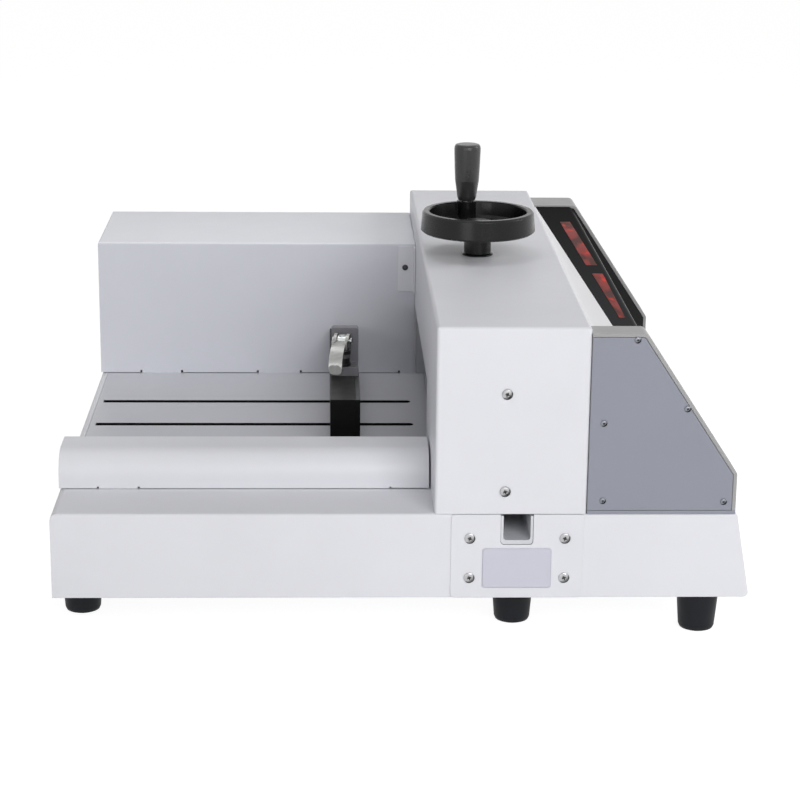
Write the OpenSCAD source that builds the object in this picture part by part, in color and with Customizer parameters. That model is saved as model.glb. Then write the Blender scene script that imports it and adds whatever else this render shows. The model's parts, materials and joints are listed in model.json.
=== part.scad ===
// Electric desktop paper cutter with a hand-turned clamp and a hinged front cover.
// X runs to the operator's end, Y to the machine's right side and Z up.
// The origin is the middle of the footprint, on the surface that the feet stand on.

/* [Base] */
// Length of the base at its foot, rear to front
base_l = 706; // [690:1:730]
// Width of the base
base_w = 732; // [716:1:760]
// Height of the base above its bottom edge
base_h = 89; // [84:1:100]
// How far the front wall leans back over its height
front_slope = 16; // [8:1:20]
// Bend radius of the rear top edge
rear_edge_r = 7; // [4:0.5:8]
// Bend radius of the side and front top edges
deck_edge_r = 3; // [2.5:0.5:4]
// Bend radius of the front wall's lower edge
base_rim_r = 5; // [3:0.5:6]
// Thickness of the painted sheet metal
sheet_t = 2; // [1.5:0.1:2.4]
// Thickness of the bottom plate
bottom_t = 4; // [3:0.5:6]

/* [Feet] */
// Height of a rubber foot
foot_h = 42; // [32:1:50]
// Diameter of a foot where it meets the base
foot_d = 43; // [36:1:43]
// Diameter of a foot at the floor
foot_tip_d = 37; // [30:1:37]
// Rear feet, from the rear end to their centres
rear_foot_in = 22; // [22:1:40]
// Middle feet, from the front end to their centres
middle_foot_in = 237; // [220:1:260]
// Front feet, from the front end to their centres
front_foot_in = 48; // [40:1:60]
// Rear, middle and front feet, from the side walls to their centres
foot_side_in = [80, 50, 26];

/* [Tables] */
// Thickness of the rear and front tables
table_t = 16; // [14:1:20]
// Width of the slots in the rear table
slot_w = 11; // [9:0.5:13]
// Left slot, from the centre line
left_slot_y = -50; // [-60:1:-44]
// Right slot, from the centre line
right_slot_y = 44; // [38:1:60]
// Solid table behind the slots
slot_rear_margin = 7; // [5:1:20]
// Solid table between the slots and the head
slot_front_margin = 9; // [6:1:14]
// Length of the front table in front of the head
apron_l = 137; // [120:1:143]

/* [Left rail] */
// From the left side wall to the rail
rail_in = 80.5; // [70:0.5:90]
// Width of the rail
rail_w = 63.5; // [56:0.5:68]
// Height of the rail
rail_h = 38; // [30:1:46]
// Bend radius of the rail's outer top edge
rail_r = 26; // [14:1:30]
// From each end of the rail to its fixing tab
rail_tab_in = 40; // [30:1:60]
// Width of a rail fixing tab
rail_tab_w = 42; // [30:1:50]

/* [Head] */
// Length of the head, rear to front
head_l = 153; // [148:1:156]
// Height of the head above the tables
head_h = 193; // [190:1:210]
// From the front end of the base to the head
head_setback = 168.5; // [166:0.5:180]
// Radius of the head's outer edges
head_r = 3.5; // [2.5:0.5:6]
// Width of the throat that the paper goes through
throat_w = 342; // [332:1:350]
// Height of the opening in the head's rear and front walls
throat_h = 86; // [80:1:92]
// Thickness of the two steel side frames
frame_t = 14; // [12:1:18]
// Height of the steel beam that joins the side frames
beam_h = 42; // [36:1:46]
// Width of that beam, rear to front
beam_l = 54; // [50:1:58]

/* [Clamp] */
// Clamping screw, behind the head's front wall
screw_in = 91.5; // [89:0.5:93]
// Clamping screw, from the centre line
screw_y = -27; // [-40:1:-10]
// Diameter of the clamping screw
screw_d = 20; // [16:1:22]
// Height of the raised clamp above the table
clamp_lift = 45.5; // [45.5:0.5:48]
// Length of the clamp beam, rear to front
clamp_l = 36; // [34:1:37]
// Height of the clamp beam
clamp_h = 55; // [52:1:58]

/* [Knife] */
// Cutting line, behind the head's front wall
knife_in = 70.5; // [68:0.5:71]
// Height of the raised cutting edge above the table
knife_lift = 50; // [48:0.5:52]
// Thickness of the blade
blade_t = 7; // [6:0.5:9]
// Height of the blade
blade_h = 75; // [68:1:80]
// Thickness of the bar that carries the blade
carrier_t = 20; // [18:1:22]
// Height of that bar
carrier_h = 70; // [64:1:74]
// Width of the cutting stick
stick_w = 16; // [12:1:18]
// Depth of the cutting stick
stick_h = 12; // [8:1:12]

/* [Handwheel] */
// Outer diameter of the rim at its top
wheel_d = 125; // [110:1:130]
// Depth of the rim
rim_h = 23.5; // [18:0.5:28]
// Width of the rim at its top
rim_w = 8; // [6:0.5:10]
// Height of the rim's top above the head
wheel_rise = 50; // [46:1:60]
// Diameter of the neck under the wheel
neck_d = 30.4; // [28:0.2:34]
// Length of the revolving grip
grip_l = 64; // [50:1:80]
// Diameter of the grip at its top
grip_d = 30; // [26:0.5:32]
// Angle of the grip round the wheel
grip_angle = 100.7; // [80:0.1:130]
// From the wheel's centre to the grip
grip_r = 53; // [44:0.5:53]

/* [Front cover and side panels] */
// Thickness of the left side panel
left_panel_t = 31; // [26:1:34]
// Thickness of the right side panel
right_panel_t = 54; // [40:1:60]
// Height of the side panels above the deck
panel_h = 187; // [182:1:189]
// Length of a side panel's level top
panel_top_l = 54; // [50:1:62]
// Length of a side panel at the deck
panel_l = 150; // [145:0.5:151.5]
// Height at which a side panel's slanted edge ends
panel_nose_h = 42.5; // [38:0.5:56]
// Right side panel, from the right side wall
right_panel_in = 18; // [10:1:26]
// Lip of a side panel round its inset plate
panel_lip = 3.5; // [3:0.5:5]
// Thickness of the tinted cover
cover_t = 3; // [2:0.5:4]
// Hinge of the cover, in front of the head
hinge_out = 17; // [17:0.5:20]
// Hinge pin diameter
hinge_pin_d = 5; // [4:0.5:5]
// Slope of the cover's front
cover_slope = 66; // [62:1:70]

/* [Motor cover] */
// Height of the motor cover above the tables
wall_h = 163.5; // [162:0.5:175]
// Bend radius of its top edges
wall_edge_r = 2.6; // [2.5:0.1:4]
// Bracket on its inner side, width and height
bracket_w = 21; // [18:1:26]
bracket_h = 56; // [40:1:64]

/* [Pusher] */
// Rear face of the pusher, from the rear end of the base
pusher_in = 280.5; // [200:0.5:290]
// Thickness of the pusher bar, rear to front
pusher_l = 27.5; // [26:0.5:30]
// Thickness of the plate on the pusher's front
pusher_face_t = 5; // [4:0.5:7]
// Width of the pusher
pusher_w = 318; // [270:1:326]
// Height of the pusher bar
pusher_h = 59.5; // [50:0.5:62]
// Height of the upright plate above the bar
upright_h = 50; // [47:0.5:60]
// Height of the cam lever's pivot above the bar
lever_rise = 38.5; // [37:0.5:42]
// Turn of the cam lever to one side
lever_turn = 14; // [0:1:16]

/* [Stick access plate] */
// Width of the access plate on the left side
plate_w = 134; // [126:1:140]
// Width of the port
port_w = 33; // [30:0.5:36]
// Depth of the port below the deck
port_h = 32.5; // [30:0.5:36]
// Screws of the plate, apart along and up the side
plate_screw_x = 96; // [80:1:110]
plate_screw_z = 42; // [30:1:60]

/* [Controls] */
// From the centre line to each cut button
button_y = 230; // [180:1:280]
// Height of the cut buttons above the base's bottom edge
button_z = 56; // [45:1:60]
// Diameter of a cut button
button_d = 24; // [18:1:28]
// Travel of a cut button
button_travel = 3; // [2:0.5:3]

/* [Clearances] */
// Gap between flat pieces of different bodies
gap = 0.3; // [0.2:0.05:0.4]
// Radial clearance of a running fit
run_fit = 0.05; // [0.02:0.01:0.09]

/* [Hidden] */
$fn = 64;

// Main planes
rear_x = -base_l / 2;
front_x = base_l / 2;
left_y = -base_w / 2;
right_y = base_w / 2;
base_z = foot_h;
deck_z = foot_h + base_h;
bottom_z = base_z + bottom_t;
table_z = deck_z - table_t;
head_front_x = front_x - head_setback;
head_rear_x = head_front_x - head_l;
head_top_z = deck_z + head_h;
throat_y = throat_w / 2;
throat_z = deck_z + throat_h;
frame_y = throat_y + frame_t;
frame_x0 = head_rear_x + sheet_t + 0.4;
frame_x1 = head_front_x - sheet_t - 0.4;
frame_shoulder_z = throat_z + 14;

// Table opening of the base, and the places of the pieces that stand on it
deck_lip = 8;
table_rear_x = rear_x + deck_lip;
table_left_y = left_y + rail_in + 4.5;
table_split_x = head_rear_x + 12;
apron_x = head_front_x + apron_l;
rail_y = left_y + rail_in;
rail_rear_x = rear_x + 0.5;
rail_front_x = head_rear_x - 1.9;
rail_notches = [
  rail_rear_x + rail_tab_in,
  rail_rear_x + rail_tab_in + rail_tab_w,
  rail_front_x - rail_tab_in];
seam_h = 0.8;
wall_front_x = head_rear_x - gap;
wall_y = throat_y;
wall_top_z = deck_z + wall_h;
side_lip = 16;
head_lip = 6;
slot_liner_t = 1;
bed_web_t = 14;

// Clamp
screw_x = head_front_x - screw_in;
clamp_z = deck_z + clamp_lift;
clamp_top_z = clamp_z + clamp_h;
screw_lead = 5;
clamp_turns = 9;
clamp_travel = screw_lead * clamp_turns;
nut_flange_t = 12;
nut_top_z = clamp_top_z + nut_flange_t;
nut_d = screw_d + 12;
nut_l = 38;
screw_end_z = clamp_z + 5;
tongue_w = 20;
tongue_clear = 0.4;

// Top beam
beam_x0 = screw_x - beam_l * 0.58;
beam_x1 = beam_x0 + beam_l;
beam_z1 = head_top_z - 20;
beam_z0 = beam_z1 - beam_h;
bush_flange_t = 4;
bush_d = screw_d + 10;

// Knife
knife_x = head_front_x - knife_in;
edge_z = deck_z + knife_lift;
knife_stop_gap = 0.3;
knife_travel = knife_lift - knife_stop_gap;
blade_top_z = edge_z + blade_h;
carrier_x = knife_x + blade_t;
carrier_z = blade_top_z - 41;
carrier_top_z = carrier_z + carrier_h;
carrier_mid_x = carrier_x + carrier_t / 2;
carrier_tongue_l = carrier_t - 4;
knife_screw_z = carrier_z + 20;
knife_screw_n = 5;
stick_x = knife_x + 1.5;
stick_clear = 0.4;
stick_top_z = deck_z - gap;

// Screw drive in the right column
drive_lead = 10;
drive_turns = knife_travel / drive_lead;
drive_d = 20;
drive_x = carrier_mid_x;
drive_y = frame_y + 34;
drive_nut_w = 40;
drive_nut_h = 40;
gearbox_l = 90;
gearbox_w = 84;
gearbox_h = 84;
gearbox_x = drive_x - gearbox_l / 2;
gearbox_y = drive_y - 30;
gearbox_z = bottom_z + 26;
gearbox_top_z = gearbox_z + gearbox_h;
journal_d = 14;
bearing_h = 16;
bearing_w = 38;
motor_y = gearbox_y + gearbox_w / 2;
motor_z = gearbox_z + gearbox_h / 2;
motor_d = 96;
motor_l = 210;
saddle_in = 110;
saddle_l = 40;
saddle_w = 68;
board_l = 150;
board_h = 110;

// Handwheel
wheel_top_z = head_top_z + wheel_rise;
rim_z = wheel_top_z - rim_h;
wheel_r = wheel_d / 2;
rim_draft = 1.5;
web_t = 5;
boss_d = 34;
grip_x = screw_x + grip_r * cos(grip_angle);
grip_y = screw_y + grip_r * sin(grip_angle);
grip_z = wheel_top_z + 2.5;
spindle_d = 8;

// Side panels and cover
panel_top_z = deck_z + panel_h;
panel_nose_z = deck_z + panel_nose_h;
panel_x0 = head_front_x + gap;
panel_r = 7;
nose_r = 4;
panel_x1 = panel_x0 + panel_l;
panel_bend_x = panel_x0 + panel_top_l;
panel_plate_t = 1.5;
panel_web_t = 2;
left_panel_y = left_y;
right_panel_y = right_y - right_panel_in - right_panel_t;
cover_side_gap = 1.5;
cover_y0 = left_panel_y + left_panel_t + cover_side_gap;
cover_y1 = right_panel_y - cover_side_gap;
cover_z = panel_top_z - cover_side_gap;
hinge_x = head_front_x + hinge_out;
ear_d = hinge_pin_d + 6;
ear_w = 12;
hinge_drop = 6.5;
hinge_z = cover_z - hinge_drop;
cover_rear_x = head_front_x + 2;
rail_left_w = 22.5;
rail_right_w = 1.5;
cover_bend_x = panel_bend_x - 5;
cover_bend_r = 6;
cover_end_z = deck_z + 22;
cover_slant = [cos(cover_slope), -sin(cover_slope)];
cover_normal = [sin(cover_slope), cos(cover_slope)];
cover_bend_c = [cover_bend_x - cover_bend_r * tan(cover_slope / 2), cover_z - cover_bend_r];
cover_bend_end = cover_bend_c + cover_bend_r * cover_normal;
cover_end = cover_bend_end + cover_slant * (cover_bend_end[1] - cover_end_z) / sin(cover_slope);
buffer_d = 8;
buffer_up = 28;
buffer_out = 9;

// Pusher
pusher_x = rear_x + pusher_in;
pusher_face_x = pusher_x + pusher_l;
pusher_front_x = pusher_face_x + pusher_face_t;
pusher_z = deck_z + gap;
pusher_top_z = pusher_z + pusher_h;
stud_x = pusher_x + pusher_l / 2;
stud_y = left_slot_y;
stud_d = 8;
guide_w = slot_w - 2 * slot_liner_t - 2 * gap;
upright_y = stud_y + 13;
upright_t = 12;
upright_x0 = pusher_x + 1.5;
upright_x1 = pusher_front_x - 0.5;
upright_foot_h = 10;
upright_foot_y = stud_y - 11;
upright_foot_z = pusher_top_z + upright_foot_h;
pivot_z = pusher_top_z + lever_rise;
cam_r = 9;
cam_offset = 1;
cam_pin_d = 5;
fork_w = 17.5;
ear_t = 3.6;
lever_w = 15.5;
lever_t = 3;
lever_bend_r = 25;
lever_tail = 6;

// Stick access
port_x = stick_x - 0.5;
port_z = deck_z - port_h;
plate_x1 = head_front_x - 2;
plate_x0 = plate_x1 - plate_w;
liner_t = 2.8;
access_t = 1;
head_proud = 2.4;
head_screw_in = 82.5;
head_screw_d = 11;

// Front wall frame for the buttons
front_lean = atan(front_slope / base_h);
rim_in = sheet_t + (base_rim_r + sheet_t) / tan((90 - front_lean) / 2);
bezel_d = button_d + 10;

function unit(v) = v / norm(v);

// One corner of an outline: its tangent points, or the point itself where it is sharp
function corner(p, before, after, r) =
  let (a = unit(before - p), b = unit(after - p), half = acos(a * b) / 2)
  r > 0 ? [p + a * r / tan(half), p + b * r / tan(half)] : [p];

function corner_centre(p, before, after, r) =
  let (a = unit(before - p), b = unit(after - p), half = acos(a * b) / 2)
  p + unit(a + b) * r / sin(half);

// Convex outline with a true arc at each corner
module rounded_outline(points, radii) {
  n = len(points);
  polygon([for (i = [0:n - 1])
    each corner(points[i], points[(i + n - 1) % n], points[(i + 1) % n], radii[i])]);
  for (i = [0:n - 1])
    if (radii[i] > 0)
      translate(corner_centre(points[i], points[(i + n - 1) % n], points[(i + 1) % n], radii[i]))
        circle(radii[i]);
}

module rounded_rect(x0, x1, y0, y1, r)
  rounded_outline([[x0, y0], [x1, y0], [x1, y1], [x0, y1]], [r, r, r, r]);

// Rectangle with only its upper corners rounded
module top_rounded(x0, x1, y0, y1, r)
  rounded_outline([[x0, y0], [x1, y0], [x1, y1], [x0, y1]], [0, 0, r, r]);

module block(x0, x1, y0, y1, z0, z1)
  translate([x0, y0, z0]) cube([x1 - x0, y1 - y0, z1 - z0]);

module block_xz(x0, x1, z0, z1) translate([x0, z0]) square([x1 - x0, z1 - z0]);

// Extrudes an X-Z profile along Y, and a Y-Z profile along X
module along_y(y0, y1)
  translate([0, y1, 0]) rotate([90, 0, 0]) linear_extrude(y1 - y0) children();

module along_x(x0, x1)
  translate([x0, 0, 0]) rotate([90, 0, 90]) linear_extrude(x1 - x0) children();

module rod_y(d, y0, y1) translate([0, y0, 0]) rotate([-90, 0, 0]) cylinder(d = d, h = y1 - y0);

// Pan head of a screw that stands on the plane z = 0
module pan_head(d, h) {
  r = d / 2;
  rotate_extrude() difference() {
    polygon([[0, 0], [r, 0], [r, h * 0.45], [r * 0.8, h * 0.85], [r * 0.45, h], [0, h]]);
    translate([0, h * 0.55]) square([r * 0.3, h]);
  }
}

// Screw with its head on z = 0 and its shank below
module pan_screw(head_d, head_h, shank_d, shank_l) {
  pan_head(head_d, head_h);
  translate([0, 0, -shank_l]) cylinder(d = shank_d, h = shank_l);
}

// Side profile of the base, drawn in by t from its outside
module base_profile(t) {
  lean = front_slope * (base_h - t) / base_h;
  rounded_outline([
    [rear_x + t, base_z],
    [front_x - t, base_z],
    [front_x - t - lean, deck_z - t],
    [rear_x + t, deck_z - t]],
    [0, base_rim_r + t, deck_edge_r - t / 2, max(0.5, rear_edge_r - t)]);
}

module base_body(t) intersection() {
  along_y(left_y + t, right_y - t) base_profile(t);
  along_x(rear_x - 1, front_x + 1)
    top_rounded(left_y + t, right_y - t, base_z - 1, deck_z - t, deck_edge_r - t / 2);
}

module port_cut(w, z, depth)
  along_y(left_y - 1, left_y + depth)
    rounded_outline([[port_x - w / 2, z], [port_x + w / 2, z],
      [port_x + w / 2, deck_z + 5], [port_x - w / 2, deck_z + 5]], [4, 4, 0, 0]);

// Positions of the cut buttons on the leaning front wall
module at_button(side)
  translate([front_x - front_slope * button_z / base_h, side * button_y, base_z + button_z])
    rotate([0, 90 - front_lean, 0]) children();

module base_shell() color("whitesmoke") difference() {
  base_body(0);
  translate([0, 0, -0.01]) base_body(sheet_t);
  // Opening under the tables, the head and the motor cover
  block(table_rear_x, table_split_x, table_left_y, right_y - side_lip, table_z, deck_z + 1);
  block(table_split_x - 1, head_front_x - head_lip, left_y + side_lip, right_y - side_lip,
    table_z, deck_z + 1);
  block(table_split_x - 1, apron_x, -throat_y, throat_y, table_z, deck_z + 1);
  port_cut(port_w + 1.2, port_z - 0.6, side_lip + 1);
  for (p = plate_screw_places()) translate([p[0], 0, p[1]]) rod_y(4.2, left_y - 1, left_y + 5);
  for (side = [-1, 1]) at_button(side) translate([0, 0, -20]) cylinder(d = button_d + 2, h = 40);
}

function plate_screw_places() = [for (dx = [-1, 1], dz = [-1, 1])
  [(plate_x0 + plate_x1 + dx * plate_screw_x) / 2, base_z + 42.5 + dz * plate_screw_z / 2]];

module bottom_plate() color("gainsboro")
  block(rear_x + sheet_t + gap, front_x - rim_in - gap, left_y + sheet_t + gap, right_y - sheet_t - gap,
    base_z, bottom_z);

// Welded bed: long webs under the table edges, and the cross webs between them
module bed_webs() color("dimgray") {
  z1 = table_z - 22;
  for (y = [-throat_y, throat_y - bed_web_t])
    block(table_rear_x + 6, apron_x - 6, y, y + bed_web_t, bottom_z, table_z);
  block(table_rear_x + 6, head_rear_x - 20, table_left_y + 6, table_left_y + 16, bottom_z, table_z);
  for (x = [table_rear_x + 6, head_rear_x - 32]) {
    block(x, x + 12, table_left_y + 16, -throat_y, bottom_z, z1);
    block(x, x + 12, -throat_y + bed_web_t, throat_y - bed_web_t, bottom_z, z1);
  }
  block(apron_x - 20, apron_x - 8, -throat_y + bed_web_t, throat_y - bed_web_t, bottom_z, z1);
}

module feet(x, side_in) color("#1e1f22")
  for (side = [-1, 1])
    translate([x, side * (base_w / 2 - side_in), 0]) rotate_extrude() polygon([
      [0, 0], [foot_tip_d / 2 - 4, 0],
      [foot_tip_d / 2 - 1.2, 1.2], [foot_tip_d / 2, 4],
      [foot_d / 2, foot_h - 2], [foot_d / 2, foot_h], [0, foot_h]]);

module rear_feet() feet(rear_x + rear_foot_in, foot_side_in[0]);

module front_feet() {
  feet(front_x - middle_foot_in, foot_side_in[1]);
  feet(front_x - front_foot_in, foot_side_in[2]);
}

// Slot with a square rear end and a round front end, as a plan outline drawn in by t
module slot_plan(y, t) {
  w = slot_w - 2 * t;
  x0 = table_rear_x + slot_rear_margin + t;
  x1 = head_rear_x - slot_front_margin - t;
  translate([x0, y - w / 2]) square([x1 - x0 - w / 2, w]);
  translate([x1 - w / 2, y]) circle(d = w);
}

module rear_table() color("#b4b4b8") difference() {
  block(table_rear_x + 0.3, table_split_x - 0.3, table_left_y + 0.3, throat_y + frame_t / 2,
    table_z, deck_z);
  translate([0, 0, table_z - 1]) linear_extrude(table_t + 2) {
    slot_plan(left_slot_y, 0);
    slot_plan(right_slot_y, 0);
  }
}

// Dark edging pressed into the two slots, just under the table's surface
module slot_liners() color("#0c0c0d")
  for (y = [left_slot_y, right_slot_y])
    translate([0, 0, table_z]) linear_extrude(table_t - 0.2) difference() {
      slot_plan(y, 0);
      slot_plan(y, slot_liner_t);
    }

module front_table() color("#b4b4b8") difference() {
  block(table_split_x, apron_x - 0.3, -throat_y + gap, throat_y - gap, table_z, deck_z);
  block(stick_x - stick_w / 2 - stick_clear, stick_x + stick_w / 2 + stick_clear,
    -throat_y - 1, throat_y + 1, stick_top_z - stick_h - gap, deck_z + 1);
}

module rail_section(t) intersection() {
  rounded_outline([
    [rail_y + t, deck_z - t], [rail_y + rail_w - t, deck_z - t],
    [rail_y + rail_w - t, deck_z + rail_h - t], [rail_y + t, deck_z + rail_h - t]],
    [0, 0, 1.6 - t / 2, rail_r - t]);
  block_xz(rail_y, rail_y + rail_w, deck_z - t, deck_z + rail_h);
}

// Bent rail with relief notches beside its fixing tabs
module left_rail() color("#d2d2d7") difference() {
  along_x(rail_rear_x, rail_front_x) rail_section(0);
  along_x(rail_rear_x + 1.5, rail_front_x - 1.5) rail_section(1.5);
  for (seam = [
      [rail_rear_x - 1, rail_notches[0], seam_h], [rail_notches[0], rail_notches[1], seam_h / 2],
      [rail_notches[1], rail_notches[2], seam_h], [rail_notches[2], rail_front_x + 1, seam_h * 1.5]])
    block(seam[0], seam[1], rail_y - 1, rail_y + 3, deck_z - 1, deck_z + seam[2]);
  for (x = rail_notches) block(x - 1, x + 1, rail_y - 1, rail_y + 3, deck_z - 1, deck_z + 2.6);
}

// Ends of the tabs along the foot of the motor cover's inner wall, from its rear end
wall_tabs = [49, 99, 192, 245, 366];

module motor_cover_body(t) intersection() {
  along_y(wall_y + t, right_y - t)
    top_rounded(rear_x + t, wall_front_x + t + 1, deck_z - t, wall_top_z - t, wall_edge_r - t / 2);
  along_x(rear_x + t, wall_front_x + t + 1)
    top_rounded(wall_y + t, right_y - t, deck_z - t, wall_top_z - t, wall_edge_r - t / 2);
}

module motor_cover() color("#d4d5dc") difference() {
  motor_cover_body(0);
  motor_cover_body(sheet_t);
  block(wall_front_x, wall_front_x + 10, wall_y - 1, right_y + 1, deck_z - 1, wall_top_z + 1);
  for (span = [[-1, wall_tabs[0]], [wall_tabs[1], wall_tabs[2]], [wall_tabs[3], wall_tabs[4]]])
    block(rear_x + span[0], rear_x + span[1], wall_y - 1, wall_y + sheet_t + 1,
      deck_z - 1, deck_z + seam_h);
  for (s = wall_tabs)
    block(rear_x + s - 1.2, rear_x + s + 1.2, wall_y - 1, wall_y + sheet_t + 1, deck_z - 1, deck_z + 3.4);
  // Window for the inlet panel in the rear end
  block(rear_x - 1, rear_x + sheet_t + 1, inlet_y - inlet_w / 2, inlet_y + inlet_w / 2,
    inlet_z - inlet_h / 2, inlet_z + inlet_h / 2);
}

inlet_y = (wall_y + right_y) / 2;
inlet_z = deck_z + 45;
inlet_w = 72;
inlet_h = 40;
inlet_depth = 6;

// Recessed tray for the mains inlet and the rocker switch
module inlet_tray() difference() {
  union() {
    block(rear_x + sheet_t, rear_x + sheet_t + 1.5, inlet_y - inlet_w / 2 - 6, inlet_y + inlet_w / 2 + 6,
      inlet_z - inlet_h / 2 - 6, inlet_z + inlet_h / 2 + 6);
    block(rear_x + sheet_t, rear_x + sheet_t + inlet_depth + 2, inlet_y - inlet_w / 2 - 2,
      inlet_y + inlet_w / 2 + 2, inlet_z - inlet_h / 2 - 2, inlet_z + inlet_h / 2 + 2);
  }
  block(rear_x, rear_x + sheet_t + inlet_depth, inlet_y - inlet_w / 2, inlet_y + inlet_w / 2,
    inlet_z - inlet_h / 2, inlet_z + inlet_h / 2);
  translate([0, socket_y, inlet_z]) along_x(rear_x, rear_x + 30)
    square([socket_w, socket_h], center = true);
  block(rear_x, rear_x + 30, rocker_y - rocker_w / 2 - gap, rocker_y + rocker_w / 2 + gap,
    inlet_z - rocker_h / 2 - gap, inlet_z + rocker_h / 2 + gap);
}

// The tray with two cheeks and a pin behind it, on which the rocker tips
module inlet_panel() color("#2a2a2c") {
  inlet_tray();
  for (y = [rocker_y - rocker_w / 2 - gap - cheek_t, rocker_y + rocker_w / 2 + gap])
    block(rear_x + sheet_t + inlet_depth + 1, rocker_axis_x + 4, y, y + cheek_t,
      inlet_z - 5, inlet_z + 5);
  translate([rocker_axis_x, 0, inlet_z])
    rod_y(rocker_pin_d, rocker_y - rocker_w / 2 - gap - 1, rocker_y + rocker_w / 2 + gap + 1);
}

socket_y = inlet_y - 14;
socket_w = 28;
socket_h = 24;
rocker_y = inlet_y + 22;
rocker_w = 15;
rocker_h = 22;
rocker_tilt = 7;
rocker_axis_x = rear_x + sheet_t + inlet_depth + 4;
rocker_pin_d = 3;
cheek_t = 2.5;

// Mains inlet: a shrouded socket with three flat pins
module power_inlet() color("#222224") {
  x0 = rear_x + sheet_t + inlet_depth + 2;
  difference() {
    block(x0 - 2, x0 + 22, socket_y - socket_w / 2, socket_y + socket_w / 2,
      inlet_z - socket_h / 2, inlet_z + socket_h / 2);
    translate([0, socket_y, inlet_z]) along_x(x0 - 3, x0 + 18)
      polygon([[-12, -9], [12, -9], [12, 4], [7, 9], [-7, 9], [-12, 4]]);
  }
  for (p = [[-7, -2], [0, 3], [7, -2]])
    block(x0 + 6, x0 + 19, socket_y + p[0] - 1, socket_y + p[0] + 1,
      inlet_z + p[1] - 2, inlet_z + p[1] + 2);
}

// Rocker with two sloping halves, turned to its off side about its middle
module power_rocker() color("#b03028") translate([rocker_axis_x, rocker_y, inlet_z])
  rotate([0, rocker_tilt, 0]) along_y(-rocker_w / 2, rocker_w / 2) difference() {
    tip = 0.43 * rocker_h;
    rise = -5 - tip * tan(rocker_tilt);
    polygon([[-5, 0], [rise, tip], [5, tip], [5, -tip], [rise, -tip]]);
    circle(d = rocker_pin_d + 2 * run_fit);
  }

module cover_bracket() color("#c8c9cf") {
  z1 = wall_top_z - 3.5;
  z0 = z1 - bracket_h;
  difference() {
    union() {
      block(head_rear_x - bracket_w, head_rear_x - gap, wall_y - sheet_t, wall_y, z0, z1);
      block(head_rear_x - gap - sheet_t, head_rear_x - gap, wall_y - 14, wall_y, z0, z1);
    }
    translate([head_rear_x - 12.4, 0, z0 + 30]) rod_y(3.4, wall_y - 5, wall_y + 5);
  }
}

module bracket_screw() color("#2c2c2e")
  translate([head_rear_x - 12.4, wall_y - sheet_t, wall_top_z - 3.5 - bracket_h + 30])
    rotate([90, 0, 0]) pan_screw(7, 2, 3.2, sheet_t);

// Steel side frame with slots that guide the clamp and the knife carrier
module side_frame(side) color("#8f9296") {
  y0 = side > 0 ? throat_y : -frame_y;
  difference() {
    along_y(y0, y0 + frame_t) {
      block_xz(frame_x0, frame_x1, deck_z, frame_shoulder_z);
      rounded_outline([[head_rear_x + 16, bottom_z], [head_front_x - 14, bottom_z],
        [head_front_x - 14, beam_z1], [head_rear_x + 16, beam_z1]], [0, 0, 8, 8]);
    }
    block(screw_x - tongue_w / 2 - tongue_clear, screw_x + tongue_w / 2 + tongue_clear,
      y0 - 1, y0 + frame_t + 1, deck_z + 2, clamp_top_z + 3);
    block(carrier_mid_x - carrier_tongue_l / 2 - tongue_clear,
      carrier_mid_x + carrier_tongue_l / 2 + tongue_clear,
      y0 - 1, y0 + frame_t + 1, carrier_z - knife_travel - 2, carrier_top_z + 3);
    if (side < 0)
      block(stick_x - stick_w / 2 - 1, stick_x + stick_w / 2 + 1, y0 - 1, y0 + frame_t + 1,
        stick_top_z - stick_h - 1, stick_top_z + 1);
    for (z = [beam_z0 + 11, beam_z1 - 11], x = [beam_x0 + 12, beam_x1 - 12])
      translate([x, 0, z]) rod_y(8.4, y0 - 1, y0 + frame_t + 1);
  }
}

module side_frame_left() side_frame(-1);
module side_frame_right() side_frame(1);

module top_beam() color("#7d8084") difference() {
  block(beam_x0, beam_x1, -throat_y, throat_y, beam_z0, beam_z1);
  translate([screw_x, screw_y, beam_z0 - 1]) cylinder(d = bush_d, h = beam_h + 2);
  for (y = [screw_y - 110, screw_y + 110])
    block(beam_x0 + 10, beam_x1 - 10, max(-throat_y + 20, y - 60), min(throat_y - 20, y + 60),
      beam_z0 + 10, beam_z1 + 1);
  for (side = [-1, 1], z = [beam_z0 + 11, beam_z1 - 11], x = [beam_x0 + 12, beam_x1 - 12])
    translate([x, side * (throat_y - 7), z]) rod_y(8, -8, 8);
}

module beam_bolts() color("#3a3b3e")
  for (side = [-1, 1], z = [beam_z0 + 11, beam_z1 - 11], x = [beam_x0 + 12, beam_x1 - 12])
    translate([x, side * frame_y, z]) rotate([-90 * side, 0, 0]) difference() {
      union() {
        cylinder(d = 13, h = 8);
        translate([0, 0, -frame_t - 14]) cylinder(d = 8, h = frame_t + 14.5);
      }
      translate([0, 0, 4]) cylinder(d = 6, h = 5, $fn = 6);
    }

module screw_bush() color("#b08d42") translate([screw_x, screw_y, 0]) difference() {
  union() {
    translate([0, 0, beam_z0]) cylinder(d = bush_d, h = beam_h);
    translate([0, 0, beam_z1]) cylinder(d = bush_d + 12, h = bush_flange_t);
  }
  translate([0, 0, beam_z0 - 1]) cylinder(d = screw_d + 2 * run_fit, h = beam_h + 10);
}

module head_body(t) intersection() {
  along_y(left_y + t, right_y - t)
    top_rounded(head_rear_x + t, head_front_x - t, deck_z - t, head_top_z - t, head_r - t);
  along_x(head_rear_x + t, head_front_x - t)
    top_rounded(left_y + t, right_y - t, deck_z - t, head_top_z - t, head_r - t);
  translate([0, 0, deck_z - t]) linear_extrude(head_h)
    rounded_rect(head_rear_x + t, head_front_x - t, left_y + t, right_y - t, head_r - t);
}

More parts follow.
